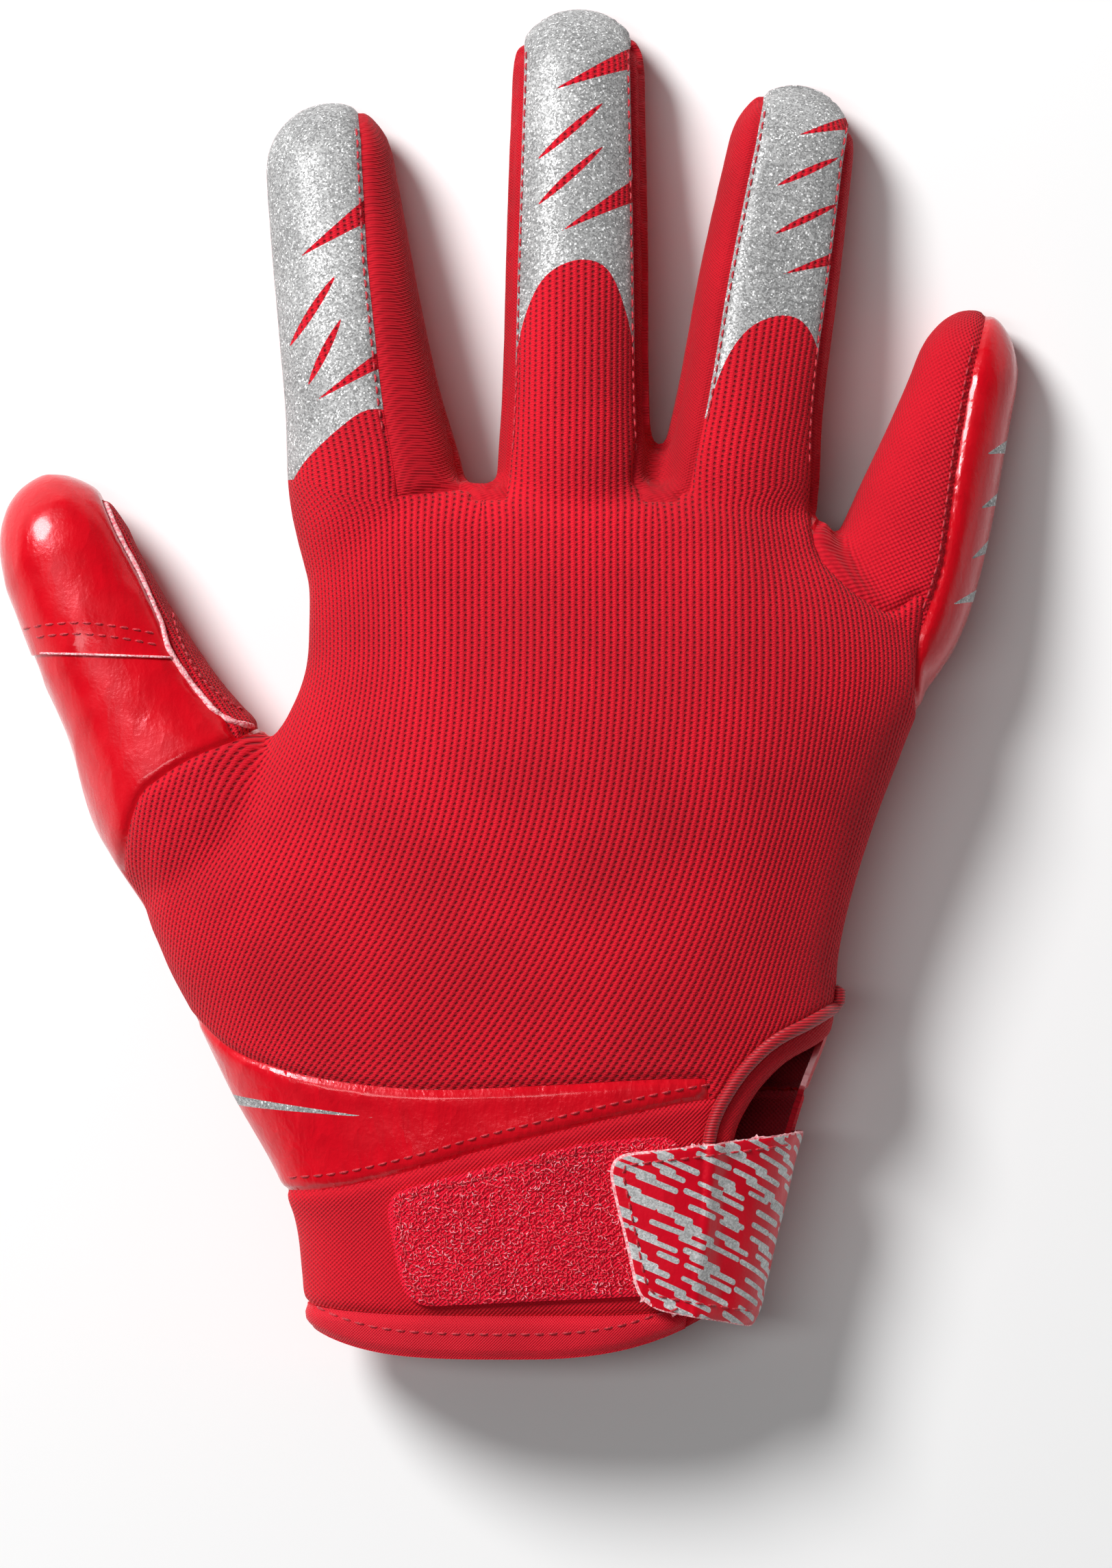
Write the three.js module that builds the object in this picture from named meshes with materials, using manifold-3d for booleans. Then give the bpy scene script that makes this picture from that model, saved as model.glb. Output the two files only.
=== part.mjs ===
// A right-hand football receiver glove, lying palm down with its fingers spread, as if a hand filled it.
// Knit back, glossy grip palm, fabric strips between the fingers, a stretch cuff with a side vent,
// a loop patch on the cuff and a strap that wraps round the wrist and closes on the patch.
// Millimetres. x runs across the palm towards the little finger, y from the cuff to the fingertips, z up.

import * as THREE from "three";
import { mergeVertices } from "three/addons/utils/BufferGeometryUtils.js";
import Module from "manifold-3d";

const wasm = await Module();
wasm.setup();

// Palm, wrist and cuff
const palmWidth = 110; // across the knuckles, over the glove
const palmLength = 152; // from the hem to the crotches of the fingers
const palmDepth = 38; // from the floor to the crown of the back
const hemHeight = 7.5; // the folded band at the mouth
const hemLift = 0.5; // how far the folded hem stands out
const hemRise = { left: 4, right: 9 }; // how far the hem rises to each side
const hemBend = { left: 4, right: 2.5 }; // how late it starts to rise: higher is later
const wall = 1.2; // knit, and grip leather with its backing
const sideSeamHeight = 18; // where the back meets the palm along the sides

// Fingers: width and depth at the root, length from the root, and the height of the centre line
const FINGERS = {
  thumb: { length: 96.4, width: 34, depth: 31, lean: -28.9, bow: -2.6, cap: 16, rootHeight: 17, tipHeight: 10.4, arch: 0 },
  index: { length: 86, width: 27.4, depth: 24, lean: -8.6, bow: -0.8, cap: 12, rootHeight: 19, tipHeight: 6.5, arch: 2 },
  middle: { length: 101.8, width: 26, depth: 23.6, lean: 0.6, bow: 0, cap: 12, rootHeight: 20, tipHeight: 5.9, arch: 3 },
  ring: { length: 89.4, width: 26, depth: 23.2, lean: 9, bow: -0.6, cap: 12.5, rootHeight: 19, tipHeight: 6.2, arch: 2 },
  little: { length: 72.6, width: 25.6, depth: 23, lean: 19, bow: 1.4, cap: 14, rootHeight: 17, tipHeight: 6, arch: 1 },
};

// Roots of the fingers, as shares of the palm's width and length
const ROOTS = {
  thumb: { across: -0.416, along: 0.454 },
  index: { across: -0.258, along: 0.888 },
  middle: { across: 0.028, along: 0.888 },
  ring: { across: 0.27, along: 0.888 },
  little: { across: 0.473, along: 0.754 },
};

// Width and depth along each finger, as shares of the finger's own. The root is sunk in the palm
const GIRTH = {
  thumb: [
    { at: 0, wide: 0.78, deep: 0.72 },
    { at: 0.2, wide: 0.98, deep: 0.96 },
    { at: 0.4, wide: 1, deep: 1 },
    { at: 0.52, wide: 0.85, deep: 0.9 },
    { at: 0.66, wide: 0.77, deep: 0.82 },
    { at: 0.83, wide: 0.7, deep: 0.76 },
  ],
  index: [
    { at: 0, wide: 1.06, deep: 0.9 },
    { at: 0.2, wide: 1.13, deep: 1 },
    { at: 0.36, wide: 1.01, deep: 0.97 },
    { at: 0.52, wide: 0.94, deep: 0.93 },
    { at: 0.86, wide: 0.83, deep: 0.8 },
  ],
  middle: [
    { at: 0, wide: 1.04, deep: 0.9 },
    { at: 0.18, wide: 1.05, deep: 1 },
    { at: 0.3, wide: 1, deep: 0.97 },
    { at: 0.53, wide: 0.965, deep: 0.93 },
    { at: 0.88, wide: 0.9, deep: 0.8 },
  ],
  ring: [
    { at: 0, wide: 1.04, deep: 0.9 },
    { at: 0.2, wide: 1.08, deep: 1 },
    { at: 0.34, wide: 1, deep: 0.97 },
    { at: 0.6, wide: 0.95, deep: 0.91 },
    { at: 0.86, wide: 0.85, deep: 0.8 },
  ],
  little: [
    { at: 0, wide: 0.78, deep: 0.72 },
    { at: 0.2, wide: 1.04, deep: 0.97 },
    { at: 0.45, wide: 0.98, deep: 0.95 },
    { at: 0.65, wide: 0.84, deep: 0.87 },
    { at: 0.8, wide: 0.74, deep: 0.8 },
  ],
};

// Sections of the palm and cuff: place along the palm, side edges as shares of its width, heights as shares of its depth
const PALM_SECTIONS = [
  { at: 0, left: -0.377, right: 0.27, top: 0.88, sole: 0.09 },
  { at: 0.06, left: -0.398, right: 0.31, top: 0.89, sole: 0.09 },
  { at: 0.14, left: -0.411, right: 0.34, top: 0.9, sole: 0.085 },
  { at: 0.22, left: -0.452, right: 0.366, top: 0.92, sole: 0.07 },
  { at: 0.3, left: -0.515, right: 0.4, top: 0.95, sole: 0.03 },
  { at: 0.38, left: -0.57, right: 0.44, top: 0.98, sole: -0.01 },
  { at: 0.46, left: -0.625, right: 0.45, top: 1, sole: -0.03 },
  { at: 0.54, left: -0.65, right: 0.475, top: 1, sole: -0.03 },
  { at: 0.62, left: -0.55, right: 0.51, top: 1, sole: 0 },
  { at: 0.7, left: -0.455, right: 0.553, top: 0.99, sole: 0.03 },
  { at: 0.78, left: -0.4, right: 0.59, top: 0.97, sole: 0.05 },
  { at: 0.85, left: -0.392, right: 0.56, top: 0.94, sole: 0.08 },
  { at: 0.92, left: -0.39, right: 0.465, top: 0.9, sole: 0.14 },
  { at: 0.97, left: -0.37, right: 0.41, top: 0.83, sole: 0.2 },
  { at: 1, left: -0.3, right: 0.34, top: 0.7, sole: 0.32 },
];
const palmSquareness = 2.5; // 2 is an ellipse, more is boxier
const fingerSquareness = 2.25;

// Seams, as shares of the palm's width and length
const LEATHER_EDGE = [
  { across: -0.427, along: 0.729 },
  { across: -0.5, along: 0.708 },
  { across: -0.57, along: 0.687 },
  { across: -0.624, along: 0.663 },
  { across: -0.662, along: 0.636 },
  { across: -0.689, along: 0.565 },
  { across: -0.676, along: 0.529 },
  { across: -0.613, along: 0.43 },
  { across: -0.569, along: 0.383 },
  { across: -0.515, along: 0.351 },
  { across: -0.449, along: 0.333 },
  { across: -0.373, along: 0.32 },
  { across: -0.275, along: 0.311 },
  { across: -0.176, along: 0.308 },
  { across: -0.013, along: 0.313 },
  { across: 0.14, along: 0.319 },
  { across: 0.238, along: 0.32 },
];
const CUFF_SEAM = [
  { across: -0.62, along: 0.176 },
  { across: -0.441, along: 0.187 },
  { across: -0.34, along: 0.195 },
  { across: -0.231, along: 0.214 },
  { across: -0.122, along: 0.237 },
  { across: -0.013, along: 0.257 },
  { across: 0.096, along: 0.276 },
  { across: 0.205, along: 0.292 },
  { across: 0.3, along: 0.298 },
  { across: 0.62, along: 0.3 },
];
const VENT_LINE = [
  { across: 0.195, along: -0.03 },
  { across: 0.205, along: 0.036 },
  { across: 0.222, along: 0.138 },
  { across: 0.236, along: 0.22 },
  { across: 0.247, along: 0.268 },
  { across: 0.271, along: 0.304 },
  { across: 0.304, along: 0.336 },
  { across: 0.347, along: 0.363 },
  { across: 0.402, along: 0.383 },
  { across: 0.455, along: 0.404 },
];
const ventFacing = 4.5; // width of the tape along the vent
const pipingRadius = 1.2;

// Front edge of the knit back, from the little finger's leather to the thumb's web
const KNUCKLE_EDGE = [
  { across: 0.62, along: 0.69 },
  { across: 0.576, along: 0.738 },
  { across: 0.574, along: 0.81 },
  { across: 0.582, along: 0.872 },
  { across: 0.533, along: 0.853 },
  { across: 0.495, along: 0.864 },
  { across: 0.451, along: 0.889 },
  { across: 0.41, along: 0.93 },
  { across: 0.36, along: 1.06 },
  { across: -0.115, along: 1.1 },
  { across: -0.45, along: 1.06 },
  { across: -0.47, along: 0.85 },
  { across: -0.46, along: 0.76 },
];

// Seams along each finger, as shares of its half width, and how far down the strips reach, as a share of its half depth
const FINGER_SEAMS = {
  index: { left: -1.3, right: [{ at: 0, across: 0.2 }, { at: 0.35, across: 0.26 }, { at: 0.65, across: 0.38 }, { at: 0.9, across: 0.55 }] },
  middle: { left: -0.86, right: [{ at: 0, across: 0.86 }, { at: 1, across: 0.8 }] },
  ring: { left: -0.6, right: [{ at: 0, across: 0.95 }, { at: 0.5, across: 0.85 }, { at: 0.9, across: 0.87 }] },
  little: { left: -1.3, right: [{ at: 0, across: 0.5 }, { at: 0.38, across: 0.45 }, { at: 0.65, across: 0.2 }, { at: 0.85, across: 0.06 }] },
  thumb: { right: [{ at: 0.43, across: 0.75 }, { at: 0.6, across: 0.71 }, { at: 0.65, across: 0.8 }, { at: 0.75, across: 0.88 }] },
};
const stripDrop = 0.35;
const stripReach = 1.3; // how far past a finger's side its strips are cut
const crotchReach = 3; // how far below the crotches the strips between the fingers start
const THUMB_LAP = [
  { across: -1.2, along: 0.815 },
  { across: -0.47, along: 0.795 },
];
const THUMB_ROOT = [
  { across: -1.2, along: 0.47 },
  { across: -0.46, along: 0.775 },
];
const gussetStart = 0.4; // lower end of the thumb's knit strip, as a share of its length

// Loop patch and strap: corners as shares of the palm's width and length
const patchThickness = 1.2;
const patchCorner = 5;
const PATCH_CORNERS = [
  { across: -0.235, along: 0.06 },
  { across: 0.195, along: 0.075 },
  { across: 0.2, along: 0.257 },
  { across: 0.05, along: 0.25 },
  { across: -0.27, along: 0.19 },
];
const strapThickness = 1.4;
const strapCorner = 4.5;
const STRAP_TAB = [
  { across: 0.127, along: 0.062 },
  { across: 0.32, along: 0.035 },
  { across: 0.62, along: -0.01 },
  { across: 0.62, along: 0.282 },
  { across: 0.407, along: 0.2605 },
  { across: 0.077, along: 0.236 },
];
const strapRootAcross = 0.16; // where the strap is sewn under the cuff

// Clearance between neighbouring pieces, and how finely they are faceted
const seamGap = 0.3;
const palmSides = 28;
const fingerSides = 14;
const capAngles = [0, 28, 50, 73];
const pipingSides = 6;
const pipingSteps = 16;
const curveSteps = 2; // straight pieces for each stretch of a seam
const stripSteps = 5; // straight pieces along a finger's seam
const smoothing = 0.06; // how far facets may move when needless ones are taken out
const farAway = 60; // past anything in the part, for the cutting bodies
const stripPast = 4; // how far past a fingertip its strips are cut

// A column of a table at any place, straight between its rows
function readTable(rows, key, at) {
  const last = rows.length - 1;
  if (at <= rows[0].at) return rows[0][key];
  if (at >= rows[last].at) return rows[last][key];
  const next = rows.findIndex((row) => row.at >= at);
  const [a, b] = [rows[next - 1], rows[next]];
  return a[key] + ((b[key] - a[key]) * (at - a.at)) / (b.at - a.at);
}

const onPalm = ({ across, along }) => new THREE.Vector2(across * palmWidth, along * palmLength);

// A closed mesh as a manifold-3d solid, and back
function solidOf(geometry) {
  const plain = geometry.index ? geometry.toNonIndexed() : geometry.clone();
  plain.deleteAttribute("normal");
  plain.deleteAttribute("uv");
  const merged = mergeVertices(plain, 1e-4);
  return new wasm.Manifold(
    new wasm.Mesh({
      numProp: 3,
      vertProperties: merged.attributes.position.array,
      triVerts: new Uint32Array(merged.index.array),
    }),
  );
}

function geometryOf(solid) {
  const mesh = solid.getMesh();
  const positions = new Float32Array(mesh.numVert * 3);
  for (let i = 0; i < mesh.numVert; i++) {
    positions.set(mesh.vertProperties.subarray(i * mesh.numProp, i * mesh.numProp + 3), i * 3);
  }
  const geometry = new THREE.BufferGeometry();
  geometry.setAttribute("position", new THREE.BufferAttribute(positions, 3));
  geometry.setIndex(new THREE.BufferAttribute(new Uint32Array(mesh.triVerts), 1));
  const faceted = geometry.toNonIndexed();
  faceted.computeVertexNormals();
  return faceted;
}

// A closed loft through rings of points that all run the same way round, each end closed by a fan
function loft(rings) {
  const sides = rings[0].length;
  const positions = rings.flat().flatMap((p) => [p.x, p.y, p.z]);
  const middleOf = (ring) => ring.reduce((sum, p) => sum.add(p), new THREE.Vector3()).divideScalar(sides);
  const start = rings.length * sides;
  for (const ring of [rings[0], rings[rings.length - 1]]) positions.push(...middleOf(ring).toArray());
  const index = [];
  for (let i = 0; i < rings.length - 1; i++) {
    for (let k = 0; k < sides; k++) {
      const [a, b] = [i * sides + k, i * sides + ((k + 1) % sides)];
      index.push(a, b, b + sides, a, b + sides, a + sides);
    }
  }
  const lastRing = (rings.length - 1) * sides;
  for (let k = 0; k < sides; k++) {
    const next = (k + 1) % sides;
    index.push(start, next, k, start + 1, lastRing + k, lastRing + next);
  }
  const geometry = new THREE.BufferGeometry();
  geometry.setAttribute("position", new THREE.Float32BufferAttribute(positions, 3));
  geometry.setIndex(index);
  const solid = solidOf(geometry);
  if (solid.volume() > 0) return solid;
  geometry.setIndex(index.map((_, i) => index[i - (i % 3) + (2 - (i % 3))]));
  return solidOf(geometry);
}

// One point of a rounded box section: across and up from its centre
function sectionPoint(angle, squareness, halfWidth, halfDepth) {
  const bend = (value) => Math.sign(value) * Math.abs(value) ** (2 / squareness);
  return { across: halfWidth * bend(Math.cos(angle)), up: halfDepth * bend(Math.sin(angle)) };
}

// The palm and cuff at one place along the palm: the section's centre and half sizes
function palmSection(along) {
  const at = along / palmLength;
  const read = (key) => readTable(PALM_SECTIONS, key, at);
  const [left, right] = [read("left") * palmWidth, read("right") * palmWidth];
  const [top, sole] = [read("top") * palmDepth, read("sole") * palmDepth];
  return {
    x: (left + right) / 2,
    z: (top + sole) / 2,
    halfWidth: (right - left) / 2,
    halfDepth: (top - sole) / 2,
  };
}

// The hem bows upwards towards both sides, and the bow fades out above it
function hemBow(along, share) {
  const side = share < 0 ? "left" : "right";
  const fade = Math.max(0, 1 - along / (5 * hemHeight));
  return hemRise[side] * fade * Math.abs(share) ** hemBend[side];
}

// The whole palm and cuff as a solid, grown by offset. Its mouth can be pushed out, to leave the cuff open
function palmBody(offset, mouth = 0) {
  const rings = PALM_SECTIONS.map((row, i) => {
    const along = row.at * palmLength;
    const section = palmSection(along);
    const atFront = i === PALM_SECTIONS.length - 1;
    return Array.from({ length: palmSides }, (_, k) => {
      const { across, up } = sectionPoint(
        (2 * Math.PI * k) / palmSides,
        palmSquareness,
        section.halfWidth + offset,
        section.halfDepth + offset,
      );
      const share = across / (section.halfWidth + offset);
      const y = along + hemBow(along, share) + (atFront ? offset : 0);
      return new THREE.Vector3(section.x + across, y, section.z + up);
    });
  });
  if (mouth > 0) rings.unshift(rings[0].map((p) => p.clone().setY(-mouth)));
  return loft(rings);
}

// Height of the palm's outer surface above a point, on its back
function backHeight(x, y) {
  const section = palmSection(y);
  const share = Math.min(1, Math.abs(x - section.x) / section.halfWidth);
  return section.z + section.halfDepth * (1 - share ** palmSquareness) ** (1 / palmSquareness);
}

// A point on a finger's centre line, and the direction across it
function fingerFrame(name, along) {
  const finger = FINGERS[name];
  const root = onPalm(ROOTS[name]);
  const lean = THREE.MathUtils.degToRad(finger.lean);
  const at = along / finger.length;
  const sideways = finger.bow * 4 * at * (1 - at);
  const turn = Math.atan((finger.bow * 4 * (1 - 2 * at)) / finger.length);
  const height = THREE.MathUtils.lerp(finger.rootHeight, finger.tipHeight, at) + finger.arch * 4 * at * (1 - at);
  return {
    x: root.x + Math.sin(lean) * along + Math.cos(lean) * sideways,
    y: root.y + Math.cos(lean) * along - Math.sin(lean) * sideways,
    z: height,
    direction: lean + turn,
    halfWidth: (finger.width * readTable(GIRTH[name], "wide", at)) / 2,
    halfDepth: (finger.depth * readTable(GIRTH[name], "deep", at)) / 2,
  };
}

function pointAcross(frame, across, z) {
  const x = frame.x + Math.cos(frame.direction) * across;
  const y = frame.y - Math.sin(frame.direction) * across;
  return new THREE.Vector3(x, y, z);
}

// Places along a finger where it gets a section, and how much the rounded tip narrows it there
function fingerStations(name, offset) {
  const { length, cap } = FINGERS[name];
  const shank = GIRTH[name].map((row) => row.at * length).filter((along) => along < length - cap - 1);
  return [
    ...shank.map((along) => ({ along, scale: 1 })),
    ...capAngles.map((degrees) => {
      const angle = THREE.MathUtils.degToRad(degrees);
      return { along: length - cap + (cap + offset) * Math.sin(angle), scale: Math.cos(angle) };
    }),
  ];
}

function fingerBody(name, offset) {
  const rings = fingerStations(name, offset).map(({ along, scale }) => {
    const frame = fingerFrame(name, along);
    return Array.from({ length: fingerSides }, (_, k) => {
      const { across, up } = sectionPoint(
        (2 * Math.PI * k) / fingerSides,
        fingerSquareness,
        (frame.halfWidth + offset) * scale,
        (frame.halfDepth + offset) * scale,
      );
      return pointAcross(frame, across, frame.z + up);
    });
  });
  return loft(rings);
}

// Everything above a height, as one block
function above(height) {
  const block = new THREE.BoxGeometry(20 * farAway, 20 * farAway, 20 * farAway);
  return solidOf(block.translate(0, 0, 10 * farAway + height));
}

// The glove as a filled body, grown by offset and flattened where it lies on the floor
function filledGlove(offset, mouth) {
  const fingers = Object.keys(FINGERS).map((name) => fingerBody(name, offset));
  return wasm.Manifold.union([palmBody(offset, mouth), ...fingers]).intersect(above(-offset));
}

// A smooth seam through a table's points
function seam(rows) {
  const points = rows.map(onPalm);
  return new THREE.SplineCurve(points).getPoints((rows.length - 1) * curveSteps);
}

// A plan outline moved outwards by a margin, and extruded from one height to another
function prism(points, margin, low, high) {
  const closed = points.filter((p, i) => p.distanceTo(points[(i + 1) % points.length]) > 1e-3);
  const ring = THREE.ShapeUtils.isClockWise(closed) ? closed.reverse() : closed;
  const moved = ring.map((p, i) => {
    const before = ring[(i + ring.length - 1) % ring.length];
    const after = ring[(i + 1) % ring.length];
    const along = after.clone().sub(before).normalize();
    return new THREE.Vector2(p.x + along.y * margin, p.y - along.x * margin);
  });
  const geometry = new THREE.ExtrudeGeometry(new THREE.Shape(moved), { depth: high - low, bevelEnabled: false });
  return solidOf(geometry.translate(0, 0, low));
}

// An outline with rounded corners
function roundedOutline(corners, radius) {
  return corners.flatMap((corner, i) => {
    const before = corners[(i + corners.length - 1) % corners.length];
    const after = corners[(i + 1) % corners.length];
    const reach = (other) => Math.min(radius, corner.distanceTo(other) / 3);
    const from = corner.clone().lerp(before, reach(before) / corner.distanceTo(before));
    const to = corner.clone().lerp(after, reach(after) / corner.distanceTo(after));
    return new THREE.QuadraticBezierCurve(from, corner, to).getPoints(curveSteps);
  });
}

// A cutting body that follows a finger between two lines along it, each a share of its half width
function stripAlong(name, { left, right, low, start, margin }) {
  const { length } = FINGERS[name];
  const shareAt = (line, at) => (typeof line === "number" ? line : readTable(line, "across", at));
  const rings = Array.from({ length: stripSteps + 1 }, (_, i) => {
    const along = THREE.MathUtils.lerp(start - margin, length + stripPast, i / stripSteps);
    const frame = fingerFrame(name, Math.min(along, length));
    const past = Math.max(0, along - length);
    const at = along / length;
    const half = frame.halfWidth;
    const floor = frame.z - low * frame.halfDepth - margin;
    const [a, b] = [shareAt(left, at) * half - margin, shareAt(right, at) * half + margin];
    const onward = new THREE.Vector3(Math.sin(frame.direction), Math.cos(frame.direction), 0).multiplyScalar(past);
    return [
      pointAcross(frame, a, floor).add(onward),
      pointAcross(frame, b, floor).add(onward),
      pointAcross(frame, b, farAway).add(onward),
      pointAcross(frame, a, farAway).add(onward),
    ];
  });
  return loft(rings);
}

// The part of a finger's length at which its centre line passes a given place along the palm
function alongAt(name, y) {
  const lean = THREE.MathUtils.degToRad(FINGERS[name].lean);
  return (y - onPalm(ROOTS[name]).y) / Math.cos(lean);
}

// Cutting bodies, one for each piece. Each takes the margin that it's grown by when its neighbours are cut
const crotchLine = palmLength;
const ventCurve = seam(VENT_LINE);
const farRight = new THREE.Vector2(palmWidth, 0);

function ventEdge(distance) {
  return ventCurve.map((p, i) => {
    const before = ventCurve[Math.max(0, i - 1)];
    const after = ventCurve[Math.min(ventCurve.length - 1, i + 1)];
    const along = after.clone().sub(before).normalize();
    return new THREE.Vector2(p.x + along.y * distance, p.y - along.x * distance);
  });
}

// The plan outline of everything on the fingertips' side of a straight seam
function beyondLine(rows) {
  const [left, right] = rows.map(onPalm);
  const reach = new THREE.Vector2(0, palmLength);
  return [left, right, right.clone().add(reach), left.clone().add(reach)];
}

const cutters = {
  vent: () => {
    const edge = ventEdge(ventFacing);
    const top = edge[edge.length - 1];
    const outline = [...edge, new THREE.Vector2(farRight.x, top.y), new THREE.Vector2(farRight.x, edge[0].y)];
    return prism(outline, 0, sideSeamHeight, farAway);
  },
  facing: (margin) => {
    const tip = new THREE.Vector2(farRight.x, ventCurve[ventCurve.length - 1].y);
    const outline = [...ventCurve, tip, ...ventEdge(ventFacing + seamGap).reverse()];
    return prism(outline, margin, sideSeamHeight, farAway);
  },
  hem: (margin) => {
    const outline = Array.from({ length: 13 }, (_, i) => {
      const share = -1 + i / 6;
      return new THREE.Vector2(share * palmWidth * 0.5, hemHeight + hemBow(hemHeight, share));
    });
    outline.push(new THREE.Vector2(palmWidth, hemHeight), new THREE.Vector2(palmWidth, -farAway));
    outline.push(new THREE.Vector2(-palmWidth, -farAway), new THREE.Vector2(-palmWidth, hemHeight));
    return prism(outline, margin, -farAway, farAway);
  },
  cuff: (margin) => {
    const outline = [...seam(CUFF_SEAM), new THREE.Vector2(palmWidth, -farAway), new THREE.Vector2(-palmWidth, -farAway)];
    return prism(outline, margin, -farAway, farAway);
  },
  back: (margin) => {
    const outline = [...seam(LEATHER_EDGE), ...seam(VENT_LINE).slice(-5 * curveSteps), ...seam(KNUCKLE_EDGE)];
    const strips = ["index", "middle", "ring"].map((name) =>
      stripAlong(name, { ...FINGER_SEAMS[name], low: 0, start: 0, margin }),
    );
    return wasm.Manifold.union([prism(outline, margin, sideSeamHeight - margin, farAway), ...strips]);
  },
  band: (margin) => {
    const outline = [...seam(LEATHER_EDGE).slice(6 * curveSteps), ...seam(CUFF_SEAM).slice(0, -2 * curveSteps).reverse()];
    return prism(outline, margin, sideSeamHeight - margin, farAway);
  },
  between: (leftFinger, rightFinger) => (margin) => {
    const start = (name) => Math.max(0, alongAt(name, crotchLine - crotchReach));
    const leftSide = {
      left: FINGER_SEAMS[leftFinger].right,
      right: stripReach,
      low: stripDrop,
      start: start(leftFinger),
      margin,
    };
    const strips = [stripAlong(leftFinger, leftSide)];
    if (rightFinger) {
      const rightSide = {
        left: -stripReach,
        right: FINGER_SEAMS[rightFinger].left,
        low: stripDrop,
        start: start(rightFinger),
        margin,
      };
      strips.push(stripAlong(rightFinger, rightSide));
    }
    return wasm.Manifold.union(strips);
  },
  littleBack: (margin) => {
    const start = alongAt("little", 0.83 * palmLength);
    return stripAlong("little", { ...FINGER_SEAMS.little, low: 0.1, start, margin });
  },
  gusset: (margin) => {
    const start = gussetStart * FINGERS.thumb.length;
    return stripAlong("thumb", { left: FINGER_SEAMS.thumb.right, right: stripReach, low: stripDrop, start, margin });
  },
  thumbTip: (margin) => prism(beyondLine(THUMB_LAP), margin, -farAway, farAway),
  thumbBase: (margin) => prism(beyondLine(THUMB_ROOT), margin, -farAway, farAway),
};

// The largest body of a cut, without the crumbs that a seam leaves where it grazes a wall
function largest(solid) {
  const bodies = solid.simplify(smoothing).decompose();
  return bodies.reduce((best, body) => (body.volume() > best.volume() ? body : best));
}

// Piping: a round cord that edges the vent, sunk half way into the seam
function pipingBody(radius) {
  const path = ventEdge(0).filter((p) => p.y > hemHeight);
  const route = path.map((p) => {
    const section = palmSection(p.y);
    const rightmost = section.x + section.halfWidth * 0.985;
    const x = Math.min(p.x, rightmost);
    return new THREE.Vector3(x, p.y, backHeight(x, p.y));
  });
  const circle = new THREE.Shape(
    Array.from({ length: pipingSides }, (_, k) => {
      const angle = (2 * Math.PI * k) / pipingSides;
      return new THREE.Vector2(radius * Math.cos(angle), radius * Math.sin(angle));
    }),
  );
  const extrudePath = new THREE.CatmullRomCurve3(route);
  return solidOf(new THREE.ExtrudeGeometry(circle, { extrudePath, steps: pipingSteps, bevelEnabled: false }));
}

// Loop patch on the back of the cuff, lying on the palm's outer surface
const patchOutline = roundedOutline(PATCH_CORNERS.map(onPalm), patchCorner);
const patchTop = seamGap + patchThickness;
function patchBody(margin) {
  return palmBody(patchTop + margin).intersect(prism(patchOutline, margin, palmDepth / 2, farAway));
}

// Strap: wraps round the outer side of the wrist, thick where nothing lies under it
function strapBody() {
  const tab = roundedOutline(STRAP_TAB.map(onPalm), strapCorner);
  const rootX = strapRootAcross * palmWidth;
  const underneath = STRAP_TAB.map(onPalm).map((p) => new THREE.Vector2(Math.max(p.x, rootX), p.y));
  const middle = palmDepth / 2;
  const reach = prism(tab, 0, middle - 1, farAway).add(prism(underneath, 0, -farAway, middle));
  const lift = seamGap + strapThickness;
  const overPatch = palmBody(patchTop + lift).intersect(prism(patchOutline, 2 * lift, middle, farAway));
  const overPiping = pipingBody(pipingRadius + lift);
  const outer = palmBody(hemLift + lift, hemHeight).add(overPatch).add(overPiping).intersect(above(0));
  const overHem = palmBody(hemLift + seamGap, 2 * hemHeight).intersect(cutters.hem(seamGap));
  const inner = palmBody(seamGap, 2 * hemHeight).add(overHem);
  return outer.subtract(inner).subtract(patchBody(seamGap)).intersect(reach);
}

// The shell is cut into its pieces one after another, with a gap at every seam
const hollow = filledGlove(-wall, 2 * hemHeight);
const piping = pipingBody(pipingRadius);
const pipingRoom = pipingBody(pipingRadius + seamGap);
const pieces = {};
let rest = filledGlove(0).subtract(hollow).subtract(cutters.vent()).subtract(pipingRoom);

function take(name, cutter) {
  pieces[name] = largest(rest.intersect(cutter(0)));
  rest = rest.subtract(cutter(seamGap));
}

take("vent_facing", cutters.facing);
const hemSolid = palmBody(hemLift)
  .subtract(palmBody(-wall, 2 * hemHeight))
  .subtract(cutters.vent())
  .subtract(cutters.facing(seamGap))
  .subtract(pipingRoom)
  .intersect(cutters.hem(0));
pieces.cuff_hem = largest(hemSolid);
rest = rest.subtract(cutters.hem(seamGap));
take("cuff", cutters.cuff);
take("fourchette_index_middle", cutters.between("index", "middle"));
take("fourchette_middle_ring", cutters.between("middle", "ring"));
take("fourchette_ring_little", cutters.between("ring"));
take("back_panel", cutters.back);
take("wrist_band", cutters.band);
take("little_finger_back", cutters.littleBack);
take("thumb_gusset", cutters.gusset);
take("thumb_tip", cutters.thumbTip);
take("thumb_base", cutters.thumbBase);
pieces.palm_panel = largest(rest);
pieces.vent_piping = piping;
pieces.loop_patch = largest(patchBody(0).subtract(palmBody(seamGap)).subtract(pipingRoom));
pieces.strap = largest(strapBody().subtract(pipingRoom));

const red = { color: 0xc8102a, roughness: 0.85, metalness: 0 };
const glossyRed = { color: 0xd0021b, roughness: 0.18, metalness: 0 };
const FINISHES = {
  palm_panel: glossyRed,
  thumb_tip: glossyRed,
  thumb_base: glossyRed,
  wrist_band: glossyRed,
  strap: glossyRed,
};

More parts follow.
